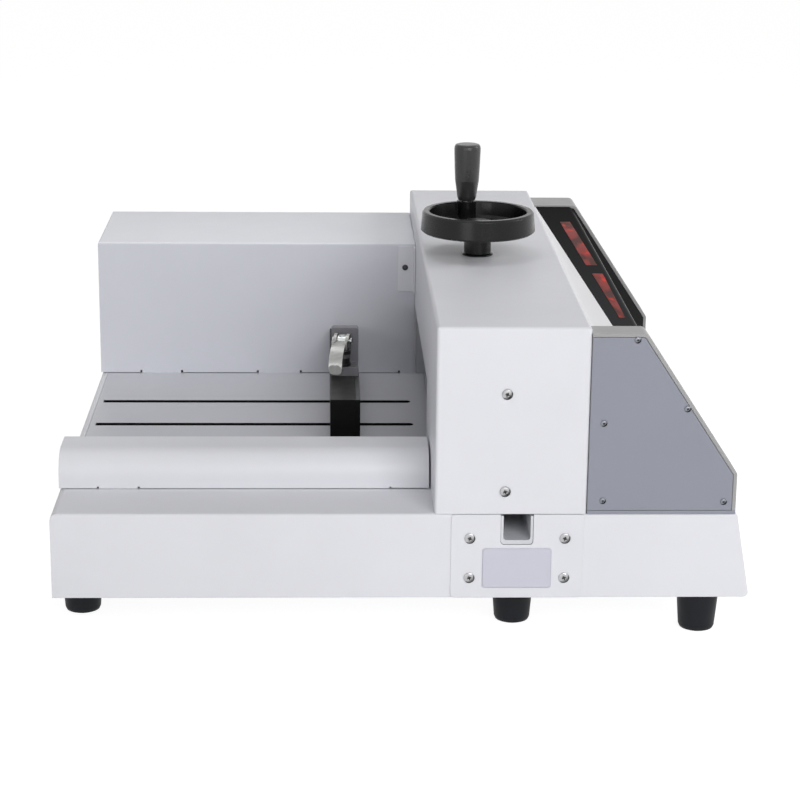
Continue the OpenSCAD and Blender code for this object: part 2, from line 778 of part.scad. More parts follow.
// Gantry-shaped cover over the head
module head_cover() color("whitesmoke") difference() {
  union() {
    difference() {
      head_body(0);
      head_body(sheet_t);
    }
    for (side = [-1, 1], z = head_screw_zs)
      translate([head_screw_x, side * (right_y - sheet_t), z]) rotate([90 * side, 0, 0])
        cylinder(d = 14, h = 8);
  }
  // Throat through the rear and front walls
  block(head_rear_x - 1, head_front_x + 1, -throat_y, throat_y, deck_z - 1, throat_z);
  // Window into the motor cover
  block(head_rear_x - 1, head_rear_x + sheet_t + 1, wall_y + 14, right_y - 12,
    deck_z - 1, wall_top_z - 12);
  translate([screw_x, screw_y, head_top_z - 10]) cylinder(d = screw_d + 6, h = 20);
  for (side = [-1, 1], z = head_screw_zs)
    translate([head_screw_x, side * right_y, z]) rotate([90 * side, 0, 0])
      translate([0, 0, -1]) cylinder(d = 4.4, h = 8);
}

head_screw_x = head_front_x - head_screw_in;
head_screw_zs = [deck_z + 23.8, deck_z + 125];

module head_screws() color("#c8c8c8")
  for (side = [-1, 1], z = head_screw_zs)
    translate([head_screw_x, side * base_w / 2, z]) rotate([-90 * side, 0, 0])
      pan_screw(head_screw_d, head_proud, 4.2, 6);

// Outline of a side panel, drawn in by t, and by rear_t at its rear edge
module panel_outline(t, rear_t) {
  slant = [panel_x1 - panel_bend_x, panel_nose_z - panel_top_z];
  lean = atan2(slant[0], -slant[1]);
  shift = t * tan((90 - lean) / 2);
  nose = t * tan(lean / 2);
  rounded_outline([
    [panel_x0 + rear_t, deck_z + t],
    [panel_x1 - t, deck_z + t],
    [panel_x1 - t, panel_nose_z - nose],
    [panel_bend_x - shift, panel_top_z - t],
    [panel_x0 + rear_t, panel_top_z - t]],
    [0, 0, max(0.6, nose_r - t), max(1, panel_r - t), 0]);
}

// Housing of a side panel: a lip on three sides and a web behind the outer plate
module panel_housing(y_out, t, out) {
  module slab(a, b, in, rear_in)
    along_y(min(y_out + out * a, y_out + out * b), max(y_out + out * a, y_out + out * b))
      panel_outline(in, rear_in);
  color("#a9a9a6") difference() {
    slab(0, t, 0, 0);
    slab(-1, panel_plate_t, panel_lip, -1);
    slab(panel_plate_t + panel_web_t, t + 1, panel_lip, panel_lip);
    for (p = panel_screw_places())
      translate([p[0], y_out, p[1]]) rod_y(3.2, -6, 6);
  }
}

function panel_screw_places() = [
  [panel_bend_x - 9.5, panel_top_z - 6.5],
  [panel_bend_x + 43, panel_top_z - 77],
  [panel_x0 + 14, deck_z + 95],
  [panel_x0 + 15.5, deck_z + 14],
  [panel_x1 - 12.5, deck_z + 13]];

module left_panel_housing() panel_housing(left_panel_y, left_panel_t, 1);
module right_panel_housing() panel_housing(right_panel_y + right_panel_t, right_panel_t, -1);

module panel_plate(y0) color("#989aa3") difference() {
  along_y(y0, y0 + panel_plate_t) panel_outline(panel_lip + 0.6, 0.2);
  for (p = panel_screw_places()) translate([p[0], 0, p[1]]) rod_y(3.2, y0 - 1, y0 + panel_plate_t + 1);
}

module panel_plates() {
  panel_plate(left_panel_y);
  panel_plate(right_panel_y + right_panel_t - panel_plate_t);
}

// Inner plate of a side panel, with a soft buffer that the closed cover rests on
module panel_liner(y0, y_in) color("#26272a") {
  buffer = cover_end - cover_slant * buffer_up - cover_normal * (cover_t + gap + buffer_d / 2);
  along_y(y0, y0 + panel_plate_t) panel_outline(panel_lip + 0.2, panel_lip + 0.2);
  translate([buffer[0], 0, buffer[1]])
    rod_y(buffer_d, min(y0 + panel_plate_t, y_in), max(y0, y_in));
}

module panel_liners() {
  panel_liner(left_panel_y + left_panel_t - panel_plate_t, left_panel_y + left_panel_t + buffer_out);
  panel_liner(right_panel_y, right_panel_y - buffer_out);
}

module panel_screws() color("#8a8c92")
  for (side = [-1, 1], p = panel_screw_places())
    translate([p[0], side > 0 ? right_panel_y + right_panel_t : left_panel_y, p[1]])
      rotate([-90 * side, 0, 0])
      pan_screw(6.6, 1.7, 3, panel_plate_t + panel_web_t);

// Hinge pins stand out of the two liners
module hinge_pins() color("#9a9b9f") {
  for (span = [
    [left_panel_y + left_panel_t, left_panel_y + left_panel_t + ear_w - 1],
    [right_panel_y - ear_w + 1, right_panel_y]])
    translate([hinge_x, 0, hinge_z]) rod_y(hinge_pin_d, span[0], span[1]);
}

// Bent tinted sheet, cut back along the painted rail
module front_cover() color([0.12, 0.13, 0.14, 0.85]) difference() {
  along_y(cover_y0, cover_y1) cover_section();
  translate([0, 0, cover_z - cover_t - 1]) linear_extrude(cover_t + 2) polygon([
    [cover_rear_x - 5, cover_y0 - 1], [cover_rear_x + rail_left_w, cover_y0 - 1],
    [cover_rear_x + rail_left_w, cover_y0], [cover_rear_x + rail_right_w, cover_y1],
    [cover_rear_x + rail_right_w, cover_y1 + 1], [cover_rear_x - 5, cover_y1 + 1]]);
}

// Painted rail along the cover's rear edge, which carries the hinge ears
module cover_rail() color("whitesmoke") {
  translate([0, 0, cover_z - cover_t]) linear_extrude(cover_t) polygon([
    [cover_rear_x, cover_y0], [cover_rear_x + rail_left_w, cover_y0],
    [cover_rear_x + rail_right_w, cover_y1], [cover_rear_x, cover_y1]]);
}

// A level strip, a bend and the slanted front
module cover_section() {
  block_xz(cover_rear_x, cover_bend_c[0], cover_z - cover_t, cover_z);
  intersection() {
    translate(cover_bend_c) difference() {
      circle(cover_bend_r);
      circle(cover_bend_r - cover_t);
    }
    translate(cover_bend_c) polygon(2 * cover_bend_r * [
      [0, 0], [0, 1], [tan(cover_slope / 2), 1], cover_normal]);
  }
  inward = -cover_t * cover_normal;
  polygon([cover_bend_end, cover_end, cover_end + inward, cover_bend_end + inward]);
}

// Hinge ears under the cover's rear edge, bored for the pins
module cover_ears() color("#2a2b2e")
  for (y = [cover_y0, cover_y1 - ear_w])
    difference() {
      along_y(y, y + ear_w) intersection() {
        union() {
          translate([hinge_x, hinge_z]) circle(d = ear_d);
          block_xz(hinge_x - ear_d / 2, hinge_x + ear_d / 2, hinge_z, cover_z);
        }
        block_xz(hinge_x - ear_d, hinge_x + ear_d, hinge_z - ear_d, cover_z - cover_t);
      }
      translate([hinge_x, 0, hinge_z]) rod_y(hinge_pin_d + 2 * run_fit, y - 1, y + ear_w + 1);
    }

module access_plate() color("#e2e3e8") difference() {
  along_y(left_y - access_t, left_y) rounded_rect(plate_x0, plate_x1, base_z, deck_z - 0.4, 4);
  translate([0, -2, 0]) port_cut(port_w, port_z, 3);
  for (p = plate_screw_places()) translate([p[0], 0, p[1]]) rod_y(4.4, left_y - 3, left_y + 1);
}

module access_screws() color("#c0c0c4")
  for (p = plate_screw_places())
    translate([p[0], left_y - access_t, p[1]]) rotate([90, 0, 0])
      pan_screw(head_screw_d, head_proud - access_t + 0.4, 4, access_t + sheet_t);

// Channel from the port to the side frame, that guides the stick out
module port_liner() color("#dfe0e4") difference() {
  half = port_w / 2 - 0.3;
  along_y(left_y, -frame_y)
    rounded_outline([[port_x - half, port_z + 0.3], [port_x + half, port_z + 0.3],
      [port_x + half, deck_z - sheet_t - 0.2], [port_x - half, deck_z - sheet_t - 0.2]],
      [3.7, 3.7, 0, 0]);
  along_y(left_y - 1, -frame_y + 1)
    rounded_outline([[port_x - port_w / 2 + liner_t, port_z + liner_t + 2],
      [port_x + port_w / 2 - liner_t, port_z + liner_t + 2],
      [port_x + port_w / 2 - liner_t, deck_z + 5], [port_x - port_w / 2 + liner_t, deck_z + 5]],
      [3, 3, 0, 0]);
}

module cutting_stick() color("#d8c9a0")
  block(stick_x - stick_w / 2, stick_x + stick_w / 2, -frame_y + 1, throat_y - 3,
    stick_top_z - stick_h, stick_top_z);

// Knife with its bevel on the front
module knife_blade() color("#c3c7cc") {
  half = throat_y - 4;
  difference() {
    along_y(-half, half) polygon([
      [knife_x, edge_z], [knife_x + blade_t, edge_z + 20],
      [knife_x + blade_t, blade_top_z], [knife_x, blade_top_z]]);
    for (i = [0:knife_screw_n - 1])
      translate([0, knife_screw_y(i), knife_screw_z]) rotate([0, 90, 0])
        translate([0, 0, knife_x - 1]) cylinder(d = 8.4, h = blade_t + 2);
  }
}

function knife_screw_y(i) = (i - (knife_screw_n - 1) / 2) * (throat_w - 60) / (knife_screw_n - 1);

module knife_carrier() color("#84888e") difference() {
  union() {
    block(carrier_x, carrier_x + carrier_t, -throat_y + 2, throat_y - 2, carrier_z, carrier_top_z);
    block(carrier_mid_x - carrier_tongue_l / 2, carrier_mid_x + carrier_tongue_l / 2,
      -frame_y + 1, drive_y - drive_nut_w / 2, carrier_z + 4, carrier_top_z - 4);
  }
  for (i = [0:knife_screw_n - 1])
    translate([carrier_x - 1, knife_screw_y(i), knife_screw_z]) rotate([0, 90, 0]) {
      cylinder(d = 8.4, h = carrier_t + 2);
      translate([0, 0, carrier_t + 1 - 9]) cylinder(d = 15, h = 20);
    }
}

module knife_screws() color("#3a3b3e")
  for (i = [0:knife_screw_n - 1])
    translate([carrier_x + carrier_t - 9, knife_screw_y(i), knife_screw_z])
      rotate([0, 90, 0]) difference() {
      union() {
        cylinder(d = 13, h = 8);
        translate([0, 0, -carrier_t + 9 - blade_t]) cylinder(d = 8, h = carrier_t - 9 + blade_t + 1);
      }
      translate([0, 0, 4]) cylinder(d = 6, h = 5, $fn = 6);
    }

// Nut block on the carrier's right end
module drive_nut() color("#b08d42") difference() {
  block(drive_x - drive_nut_w / 2, drive_x + drive_nut_w / 2, drive_y - drive_nut_w / 2,
    drive_y + drive_nut_w / 2, carrier_top_z - 6 - drive_nut_h, carrier_top_z - 6);
  translate([drive_x, drive_y, carrier_z - 10]) cylinder(d = drive_d + 2 * run_fit, h = carrier_h + 20);
}

// Upright screw between the gearbox and the bearing block
module drive_screw() color("#9a9da2") translate([drive_x, drive_y, 0]) {
  translate([0, 0, gearbox_top_z - 30]) cylinder(d = journal_d, h = 30 + gap);
  translate([0, 0, gearbox_top_z + gap])
    cylinder(d = drive_d, h = beam_z1 - bearing_h - gearbox_top_z - 2 * gap);
  translate([0, 0, beam_z1 - bearing_h - gap]) cylinder(d = journal_d, h = bearing_h + gap - 1);
}

module drive_bearing() color("#84888e") difference() {
  block(drive_x - bearing_w / 2, drive_x + bearing_w / 2, frame_y, drive_y + bearing_w / 2,
    beam_z1 - bearing_h, beam_z1);
  translate([drive_x, drive_y, beam_z1 - bearing_h - 1])
    cylinder(d = journal_d + 2 * run_fit, h = bearing_h + 2);
}

module gearbox() color("#7f8387") difference() {
  along_y(gearbox_y, gearbox_y + gearbox_w)
    rounded_rect(gearbox_x, gearbox_x + gearbox_l, gearbox_z, gearbox_top_z, 10);
  translate([drive_x, drive_y, gearbox_top_z - 32]) cylinder(d = journal_d + 2 * run_fit, h = 40);
}

// Stand under the gearbox, and a saddle under the motor
module gearbox_stand() color("#5d6064") difference() {
  union() {
    block(gearbox_x - 8, gearbox_x + gearbox_l + 8, gearbox_y + 4, gearbox_y + gearbox_w - 4,
      bottom_z, gearbox_z);
    block(gearbox_x - saddle_in - saddle_l, gearbox_x - saddle_in, motor_y - saddle_w / 2,
      motor_y + saddle_w / 2, bottom_z, motor_z - 20);
  }
  translate([gearbox_x, motor_y, motor_z]) rotate([0, -90, 0]) cylinder(d = motor_d - 14, h = motor_l);
}

// Motor in line behind the gearbox, with a ribbed body and a fan cowl
module drive_motor() color("#4e5a66") translate([gearbox_x, motor_y, motor_z]) rotate([0, -90, 0]) {
  cylinder(d = 62, h = 20);
  translate([0, 0, 20]) cylinder(d = motor_d - 14, h = motor_l - 20);
  translate([0, 0, motor_l - 45]) cylinder(d = motor_d, h = 40);
}

module control_board() color("#2f5d46") {
  y1 = right_y - sheet_t;
  x0 = rear_x + 34;
  z0 = deck_z + 24;
  block(x0, x0 + board_l, y1 - 8, y1 - 6.4, z0, z0 + board_h);
  for (dx = [6, board_l - 6], dz = [6, board_h - 6])
    translate([x0 + dx, 0, z0 + dz]) rod_y(7, y1 - 6.5, y1);
  block(x0 + 15, x0 + 55, y1 - 34, y1 - 8, z0 + 20, z0 + 60);
  translate([x0 + 90, y1 - 8, z0 + 40]) rotate([90, 0, 0]) cylinder(d = 30, h = 40);
  block(x0 + 120, x0 + 140, y1 - 20, y1 - 8, z0 + 60, z0 + 100);
}

// Cast clamp beam with pockets, a bore for the nut and end tongues in the side frames
module clamp_beam() color("#9b9ea3") {
  x0 = screw_x - clamp_l / 2;
  half = throat_y - 2;
  difference() {
    union() {
      block(x0, x0 + clamp_l, -half, half, clamp_z, clamp_top_z);
      block(screw_x - tongue_w / 2, screw_x + tongue_w / 2, -frame_y + 1, frame_y - 1,
        clamp_z + 6, clamp_top_z);
    }
    for (span = [[-half + 12, screw_y - 30], [screw_y + 30, half - 12]])
      block(x0 + 7, x0 + clamp_l - 7, span[0], span[1], clamp_z + 12, clamp_top_z + 1);
    translate([screw_x, screw_y, clamp_top_z - nut_l + nut_flange_t]) cylinder(d = nut_d - 6, h = nut_l);
    translate([screw_x, screw_y, clamp_z + 3]) cylinder(d = screw_d + 2, h = clamp_h);
  }
}

module clamp_nut() color("#b08d42") translate([screw_x, screw_y, 0]) difference() {
  union() {
    translate([0, 0, clamp_top_z - nut_l + nut_flange_t])
      cylinder(d = nut_d - 6, h = nut_l - nut_flange_t);
    translate([0, 0, clamp_top_z]) cylinder(d = nut_d + 2, h = nut_flange_t);
  }
  translate([0, 0, clamp_top_z - nut_l]) cylinder(d = screw_d + 2 * run_fit, h = 2 * nut_l);
}

// Screw that stays at its height: a collar under the beam and a shoulder over the bush hold it
module clamp_screw() color("#a8abb0") translate([screw_x, screw_y, 0]) {
  translate([0, 0, screw_end_z]) cylinder(d = screw_d, h = rim_z + 8 - screw_end_z);
  translate([0, 0, beam_z0 - 8 - gap]) cylinder(d = screw_d + 10, h = 8);
  translate([0, 0, beam_z1 + bush_flange_t + gap]) cylinder(d = screw_d + 4, h = 8);
}

// Dished wheel: rim, web, hub and the boss for the grip
module handwheel() color("#242426") translate([screw_x, screw_y, 0]) {
  hub_z = head_top_z + gap;
  difference() {
    union() {
      rotate_extrude($fn = 96) polygon([
        [0, hub_z], [17.5, hub_z], [17.5, hub_z + 1.2], [neck_d / 2, hub_z + 2.6], [neck_d / 2, rim_z],
        [wheel_r + rim_draft - 2.5, rim_z], [wheel_r + rim_draft, rim_z + 2],
        [wheel_r, wheel_top_z - 2], [wheel_r - 1.8, wheel_top_z],
        [wheel_r - rim_w + 1.2, wheel_top_z], [wheel_r - rim_w, wheel_top_z - 1.4],
        [wheel_r - rim_w - 2, rim_z + web_t + 3], [wheel_r - rim_w - 6, rim_z + web_t],
        [boss_d / 2 + 3, rim_z + web_t], [boss_d / 2, rim_z + web_t + 3],
        [boss_d / 2 - 1.5, rim_z + web_t + 7], [0, rim_z + web_t + 7]]);
      intersection() {
        rotate(grip_angle) translate([grip_r, 0, rim_z + 1])
          cylinder(d = 22, h = wheel_top_z - rim_z + 0.5);
        cylinder(r = wheel_r, h = 2 * wheel_top_z);
      }
    }
    translate([0, 0, hub_z - 1]) cylinder(d = screw_d, h = rim_z + 8 - hub_z + 1);
    rotate(grip_angle) translate([grip_r, 0, rim_z + 4]) cylinder(d = spindle_d, h = rim_h + 10);
  }
}

module grip_spindle() color("#9a9b9f") translate([grip_x, grip_y, rim_z + 4])
  cylinder(d = spindle_d, h = grip_z + grip_l - 14 - rim_z - 4);

// Waisted grip, turning freely on its spindle
module revolving_grip() color("#242426") translate([grip_x, grip_y, grip_z]) difference() {
  rotate_extrude() polygon([for (p = [
    [0, 0], [9.2, 0], [10, 0.8], [10.9, 4], [12.2, 13.5], [13.6, 22.5], [14.3, 36], [14.9, 54],
    [15, 59], [14.6, 61.6], [13.4, 63.4], [11.5, 64], [0, 64]])
    [p[0] * grip_d / 30, p[1] * grip_l / 64]]);
  translate([0, 0, -1]) cylinder(d = spindle_d + 2 * run_fit, h = grip_l - 10);
}

module pusher_bar() color("#1a1b1e") difference() {
  along_y(-pusher_w / 2, pusher_w / 2)
    rounded_rect(pusher_x, pusher_face_x, pusher_z, pusher_top_z, 1);
  translate([stud_x, stud_y, pusher_z - 1]) cylinder(d = stud_d + 0.6, h = pusher_h + 2);
}

// Front plate of the pusher
module pusher_face() color("#4a4c52")
  block(pusher_face_x, pusher_front_x, -pusher_w / 2, pusher_w / 2, pusher_z, pusher_top_z);

// Upright plate with a foot in front, on which the stud's washers bear
module pusher_upright() color("#5f6068") difference() {
  union() {
    along_y(upright_y, upright_y + upright_t)
      top_rounded(upright_x0, upright_x1, pusher_top_z, pusher_top_z + upright_h, 3);
    block(upright_x0, upright_x1, upright_foot_y, upright_y + 1, pusher_top_z, upright_foot_z);
  }
  translate([stud_x, stud_y, pusher_top_z - 1]) cylinder(d = stud_d + 0.6, h = upright_foot_h + 2);
}

// Guide blocks that run in the slots, with heads under the table
module pusher_guides() color("#303236")
  for (y = [left_slot_y, right_slot_y]) difference() {
    union() {
      block(stud_x - 8, stud_x + 8, y - guide_w / 2, y + guide_w / 2, table_z - 1, pusher_z);
      block(stud_x - 12, stud_x + 12, y - slot_w / 2 - 6, y + slot_w / 2 + 6,
        table_z - gap - 8, table_z - gap);
    }
    if (y == stud_y) translate([stud_x, y, table_z - 12]) cylinder(d = stud_d, h = 60);
  }

// Clamping stud with its washers, its eye and the pin of the cam lever
module clamp_stud() color("#2b2c2f") {
  eye_w = fork_w - 2 * ear_t - 1;
  washer_z = pivot_z - cam_r - cam_offset - 6 - gap;
  translate([stud_x, stud_y, 0]) {
    translate([0, 0, table_z - gap - 8]) cylinder(d = stud_d, h = washer_z + 6 - table_z + gap + 8);
    translate([0, 0, upright_foot_z]) cylinder(d = 19, h = 3);
    translate([0, 0, upright_foot_z + 3]) cylinder(d = 17, h = washer_z - upright_foot_z - 3);
    translate([0, 0, washer_z]) cylinder(d = 19, h = 6);
    rotate(-lever_turn) {
      translate([-eye_w / 2, -3, washer_z + 5]) cube([eye_w, 6, pivot_z - washer_z - 5]);
      translate([-eye_w / 2, 0, pivot_z]) rotate([0, 90, 0]) cylinder(d = 12, h = eye_w);
      translate([0, 0, pivot_z]) cylinder(d = stud_d, h = 6.3);
    }
    rotate(-lever_turn) translate([-fork_w / 2 - 1.2, 0, pivot_z]) rotate([0, 90, 0]) {
      cylinder(d = cam_pin_d, h = fork_w + 2.4);
      translate([0, 0, -1]) cylinder(d = 8, h = 1);
      translate([0, 0, fork_w + 2.4]) cylinder(d = 8, h = 1);
    }
  }
}

// Lever with a fork that holds two round cams, and a blade that bends down to its tip
module cam_lever() color("#b9b9b4") translate([stud_x, stud_y, pivot_z]) rotate(-lever_turn) {
  bend_y = -8;
  bend_z = -lever_bend_r;
  tip_z = bend_z - lever_tail;
  tip_r = lever_tail - 0.5;
  difference() {
    for (x = [-fork_w / 2, fork_w / 2 - ear_t])
      along_x(x, x + ear_t) {
        translate([0, -cam_offset]) circle(r = cam_r);
        polygon([[0, 4], [2 * bend_y, 2], [2 * bend_y, -7], [0, -7]]);
      }
    translate([-fork_w, 0, 0]) rotate([0, 90, 0]) cylinder(d = cam_pin_d + 2 * run_fit, h = 2 * fork_w);
  }
  // Blade: a quarter of a ring, then a short straight end with a rounded tip
  along_x(-lever_w / 2, lever_w / 2) translate([bend_y, bend_z]) intersection() {
    difference() {
      circle(lever_bend_r + lever_t / 2);
      circle(lever_bend_r - lever_t / 2);
    }
    translate([-2 * lever_bend_r, 0]) square(2 * lever_bend_r);
  }
  along_y(bend_y - lever_bend_r - lever_t / 2, bend_y - lever_bend_r + lever_t / 2)
    rounded_outline([[-lever_w / 2, tip_z], [lever_w / 2, tip_z],
      [lever_w / 2, bend_z], [-lever_w / 2, bend_z]], [tip_r, tip_r, 0, 0]);
}

module button_bezels() color("#3a3b3e")
  for (side = [-1, 1]) at_button(side) difference() {
    union() {
      cylinder(d = bezel_d, h = 2.5);
      translate([0, 0, -16]) cylinder(d = button_d + 1.6, h = 17);
    }
    translate([0, 0, -12]) cylinder(d = button_d + 2 * gap, h = 20);
    translate([0, 0, -20]) cylinder(d = 8, h = 20);
  }

module cut_button(side) color("#3d8b52") at_button(side) {
  translate([0, 0, -12 + button_travel + 0.5]) rotate_extrude() {
    top = 12 - button_travel - 0.5 + 5;
    r = button_d / 2;
    polygon([[0, 0], [r, 0], [r, top - 1.5], [r - 1.5, top], [0, top - 0.6]]);
  }
}

module left_cut_button() cut_button(-1);
module right_cut_button() cut_button(1);

base_shell();
bottom_plate();
bed_webs();
rear_feet();
front_feet();
rear_table();
slot_liners();
front_table();
left_rail();
motor_cover();
cover_bracket();
bracket_screw();
side_frame_left();
side_frame_right();
top_beam();
beam_bolts();
screw_bush();
head_cover();
head_screws();
left_panel_housing();
right_panel_housing();
panel_plates();
panel_liners();
panel_screws();
hinge_pins();
access_plate();
access_screws();
port_liner();
drive_motor();
gearbox();
gearbox_stand();
drive_bearing();
control_board();
inlet_panel();
power_inlet();
button_bezels();
front_cover();
cover_rail();
cover_ears();
drive_screw();
knife_carrier();
knife_blade();
knife_screws();
drive_nut();
clamp_beam();
clamp_nut();
handwheel();
clamp_screw();
grip_spindle();
revolving_grip();
cutting_stick();
pusher_bar();
pusher_face();
pusher_upright();
pusher_guides();
clamp_stud();
cam_lever();
left_cut_button();
right_cut_button();
power_rocker();
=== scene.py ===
"""Looks of an electric paper cutter: materials, small trim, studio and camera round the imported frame."""
import json
import math

import bmesh
import bpy
from mathutils import Matrix, Vector


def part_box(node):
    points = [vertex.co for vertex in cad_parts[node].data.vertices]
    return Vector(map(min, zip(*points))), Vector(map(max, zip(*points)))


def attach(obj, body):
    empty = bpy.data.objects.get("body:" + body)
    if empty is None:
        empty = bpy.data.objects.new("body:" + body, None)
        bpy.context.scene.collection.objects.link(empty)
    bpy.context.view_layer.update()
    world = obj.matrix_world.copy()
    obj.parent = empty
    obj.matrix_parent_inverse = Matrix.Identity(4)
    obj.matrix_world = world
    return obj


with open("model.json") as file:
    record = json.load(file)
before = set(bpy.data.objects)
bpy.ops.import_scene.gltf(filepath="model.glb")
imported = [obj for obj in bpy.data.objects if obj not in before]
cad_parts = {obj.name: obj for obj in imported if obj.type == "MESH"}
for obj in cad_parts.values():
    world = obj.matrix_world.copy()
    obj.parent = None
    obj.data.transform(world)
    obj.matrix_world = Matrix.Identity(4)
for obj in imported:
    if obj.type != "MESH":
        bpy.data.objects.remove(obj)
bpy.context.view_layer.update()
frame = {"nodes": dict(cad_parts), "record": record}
NODES = frame["nodes"]


# Places from the frame, in metres
PLATE_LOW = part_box("access_plate")[0]
COVER_LOW, COVER_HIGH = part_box("front_cover")
LEVER_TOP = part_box("cam_lever")[1][2]
FACE_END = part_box("pusher_face")[0][1]
BAR_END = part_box("pusher_bar")[0][1]
PANEL_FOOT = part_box("left_panel_housing")[0][2]
WALL_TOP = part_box("motor_cover")[1][2]

# Camera, fitted to the photograph's edges: metres, radians and millimetres of lens
CAMERA_PLACE = Vector((-0.0785, -2.4749, 0.8525))
CAMERA_YAW = 0.03519
CAMERA_PITCH = 0.27813
CAMERA_ROLL = 0.01076
CAMERA_LENS = 100.0
CAMERA_SENSOR = 36.0
CAMERA_FAR_CLIP = 60.0

# Rays for each rounded edge, and how far the rounded normal agrees with the true one on an edge and on a flat
BEVEL_SAMPLES = 6
AGREES_ON_EDGE, AGREES_ON_FLAT = 0.75, 0.995
COAT_ROUGHNESS = 0.12


def shade(colour, factor):
    """A colour made darker or paler by a factor."""
    return tuple(min(1.0, c * factor) for c in colour)


class Shader:
    """A material's node tree, with short calls for the nodes that the finishes use."""

    def __init__(self, name):
        self.material = bpy.data.materials.new(name)
        self.material.use_nodes = True
        self.tree = self.material.node_tree
        self.tree.nodes.clear()
        self.output = self.add("ShaderNodeOutputMaterial")
        self.place = self.add("ShaderNodeTexCoord").outputs["Object"]

    def add(self, kind, **settings):
        node = self.tree.nodes.new(kind)
        for key, value in settings.items():
            setattr(node, key, value)
        return node

    def link(self, source, target):
        self.tree.links.new(source, target)

    def along(self, axis):
        """The object's coordinate along X, Y or Z."""
        parts = self.add("ShaderNodeSeparateXYZ")
        self.link(self.place, parts.inputs["Vector"])
        return parts.outputs[axis]

    def stretched(self, scale):
        """The object's coordinates, multiplied by scale along X, Y and Z."""
        mapping = self.add("ShaderNodeMapping")
        mapping.inputs["Scale"].default_value = scale
        self.link(self.place, mapping.inputs["Vector"])
        return mapping.outputs["Vector"]

    def noise(self, scale, detail=3.0, roughness=0.55, place=None):
        node = self.add("ShaderNodeTexNoise")
        node.inputs["Scale"].default_value = scale
        node.inputs["Detail"].default_value = detail
        node.inputs["Roughness"].default_value = roughness
        self.link(place or self.place, node.inputs["Vector"])
        return node.outputs["Fac"]

    def streaks(self, scale, detail=3.0):
        """Noise drawn out along the axes where scale is small."""
        return self.noise(scale=1.0, detail=detail, roughness=0.6, place=self.stretched(scale))

    def spread(self, value, low, high, from_low=0.3, from_high=0.7):
        """Maps a value to the range from low to high. Most noise lies between 0.3 and 0.7."""
        node = self.add("ShaderNodeMapRange")
        limits = (("From Min", from_low), ("From Max", from_high), ("To Min", low), ("To Max", high))
        for key, number in limits:
            node.inputs[key].default_value = number
        self.link(value, node.inputs["Value"])
        return node.outputs["Result"]

    def cloud(self, scale, detail, low=0.0, high=1.0):
        """Noise spread over the range from low to high."""
        return self.spread(self.noise(scale, detail), low, high)

    def mixed(self, factor, first, second):
        """Blends two colours, each a tuple or a socket, by a factor socket."""
        node = self.add("ShaderNodeMix", data_type="RGBA")
        for key, colour in (("A", first), ("B", second)):
            socket = [s for s in node.inputs if s.name == key and s.type == "RGBA"][0]
            if isinstance(colour, tuple):
                socket.default_value = (*colour, 1.0)
            else:
                self.link(colour, socket)
        self.link(factor, node.inputs["Factor"])
        return [s for s in node.outputs if s.type == "RGBA"][0]

    def varied(self, factor, colour, low_shade, high_shade):
        """A colour that wavers between two shades of itself."""
        return self.mixed(factor, shade(colour, low_shade), shade(colour, high_shade))

    def math(self, operation, first, second):
        node = self.add("ShaderNodeMath", operation=operation)
        for socket, value in zip(node.inputs, (first, second)):
            if isinstance(value, (int, float)):
                socket.default_value = value
            else:
                self.link(value, socket)
        return node.outputs[0]

    def soft_edges(self, radius):
        """A normal that rounds hard edges by radius."""
        node = self.add("ShaderNodeBevel", samples=BEVEL_SAMPLES)
        node.inputs["Radius"].default_value = radius
        return node.outputs["Normal"]

    def edge_mask(self, rounded):
        """1 along hard edges and 0 on flats."""
        geometry = self.add("ShaderNodeNewGeometry")
        dot = self.add("ShaderNodeVectorMath", operation="DOT_PRODUCT")
        self.link(rounded, dot.inputs[0])
        self.link(geometry.outputs["Normal"], dot.inputs[1])
        return self.spread(dot.outputs["Value"], 1.0, 0.0, AGREES_ON_EDGE, AGREES_ON_FLAT)

    def edged(self, tone, rounded, share, edge_colour):
        """A tone that takes up a share of another colour along hard edges."""
        return self.mixed(self.math("MULTIPLY", self.edge_mask(rounded), share), tone, edge_colour)

    def bump(self, height, distance, normal):
        """A normal that rises by distance where the height is 1."""
        node = self.add("ShaderNodeBump")
        node.inputs["Strength"].default_value = 1.0
        node.inputs["Distance"].default_value = distance
        self.link(height, node.inputs["Height"])
        self.link(normal, node.inputs["Normal"])
        return node.outputs["Normal"]

    def surface(self, colour, roughness, normal, metallic=0.0, specular=0.5, coat=0.0):
        """The material's surface, from sockets for its colour, roughness and normal."""
        node = self.add("ShaderNodeBsdfPrincipled")
        node.inputs["Metallic"].default_value = metallic
        node.inputs["Specular IOR Level"].default_value = specular
        node.inputs["Coat Weight"].default_value = coat
        node.inputs["Coat Roughness"].default_value = COAT_ROUGHNESS
        self.link(colour, node.inputs["Base Color"])
        self.link(roughness, node.inputs["Roughness"])
        self.link(normal, node.inputs["Normal"])
        self.link(node.outputs["BSDF"], self.output.inputs["Surface"])
        return node

    def blended(self, factor, first, second):
        """Blends two shaders by a factor socket, in place of the surface."""
        blend = self.add("ShaderNodeMixShader")
        self.link(factor, blend.inputs["Fac"])
        self.link(first, blend.inputs[1])
        self.link(second, blend.inputs[2])
        self.link(blend.outputs["Shader"], self.output.inputs["Surface"])


# Shades of a paint's mottling, and of the streaks in brushed metal with their depth in metres
MOTTLE_SHADES = (0.978, 1.012)
STREAK_SHADES = (0.86, 1.08)
STREAK_DEPTH = 0.000012


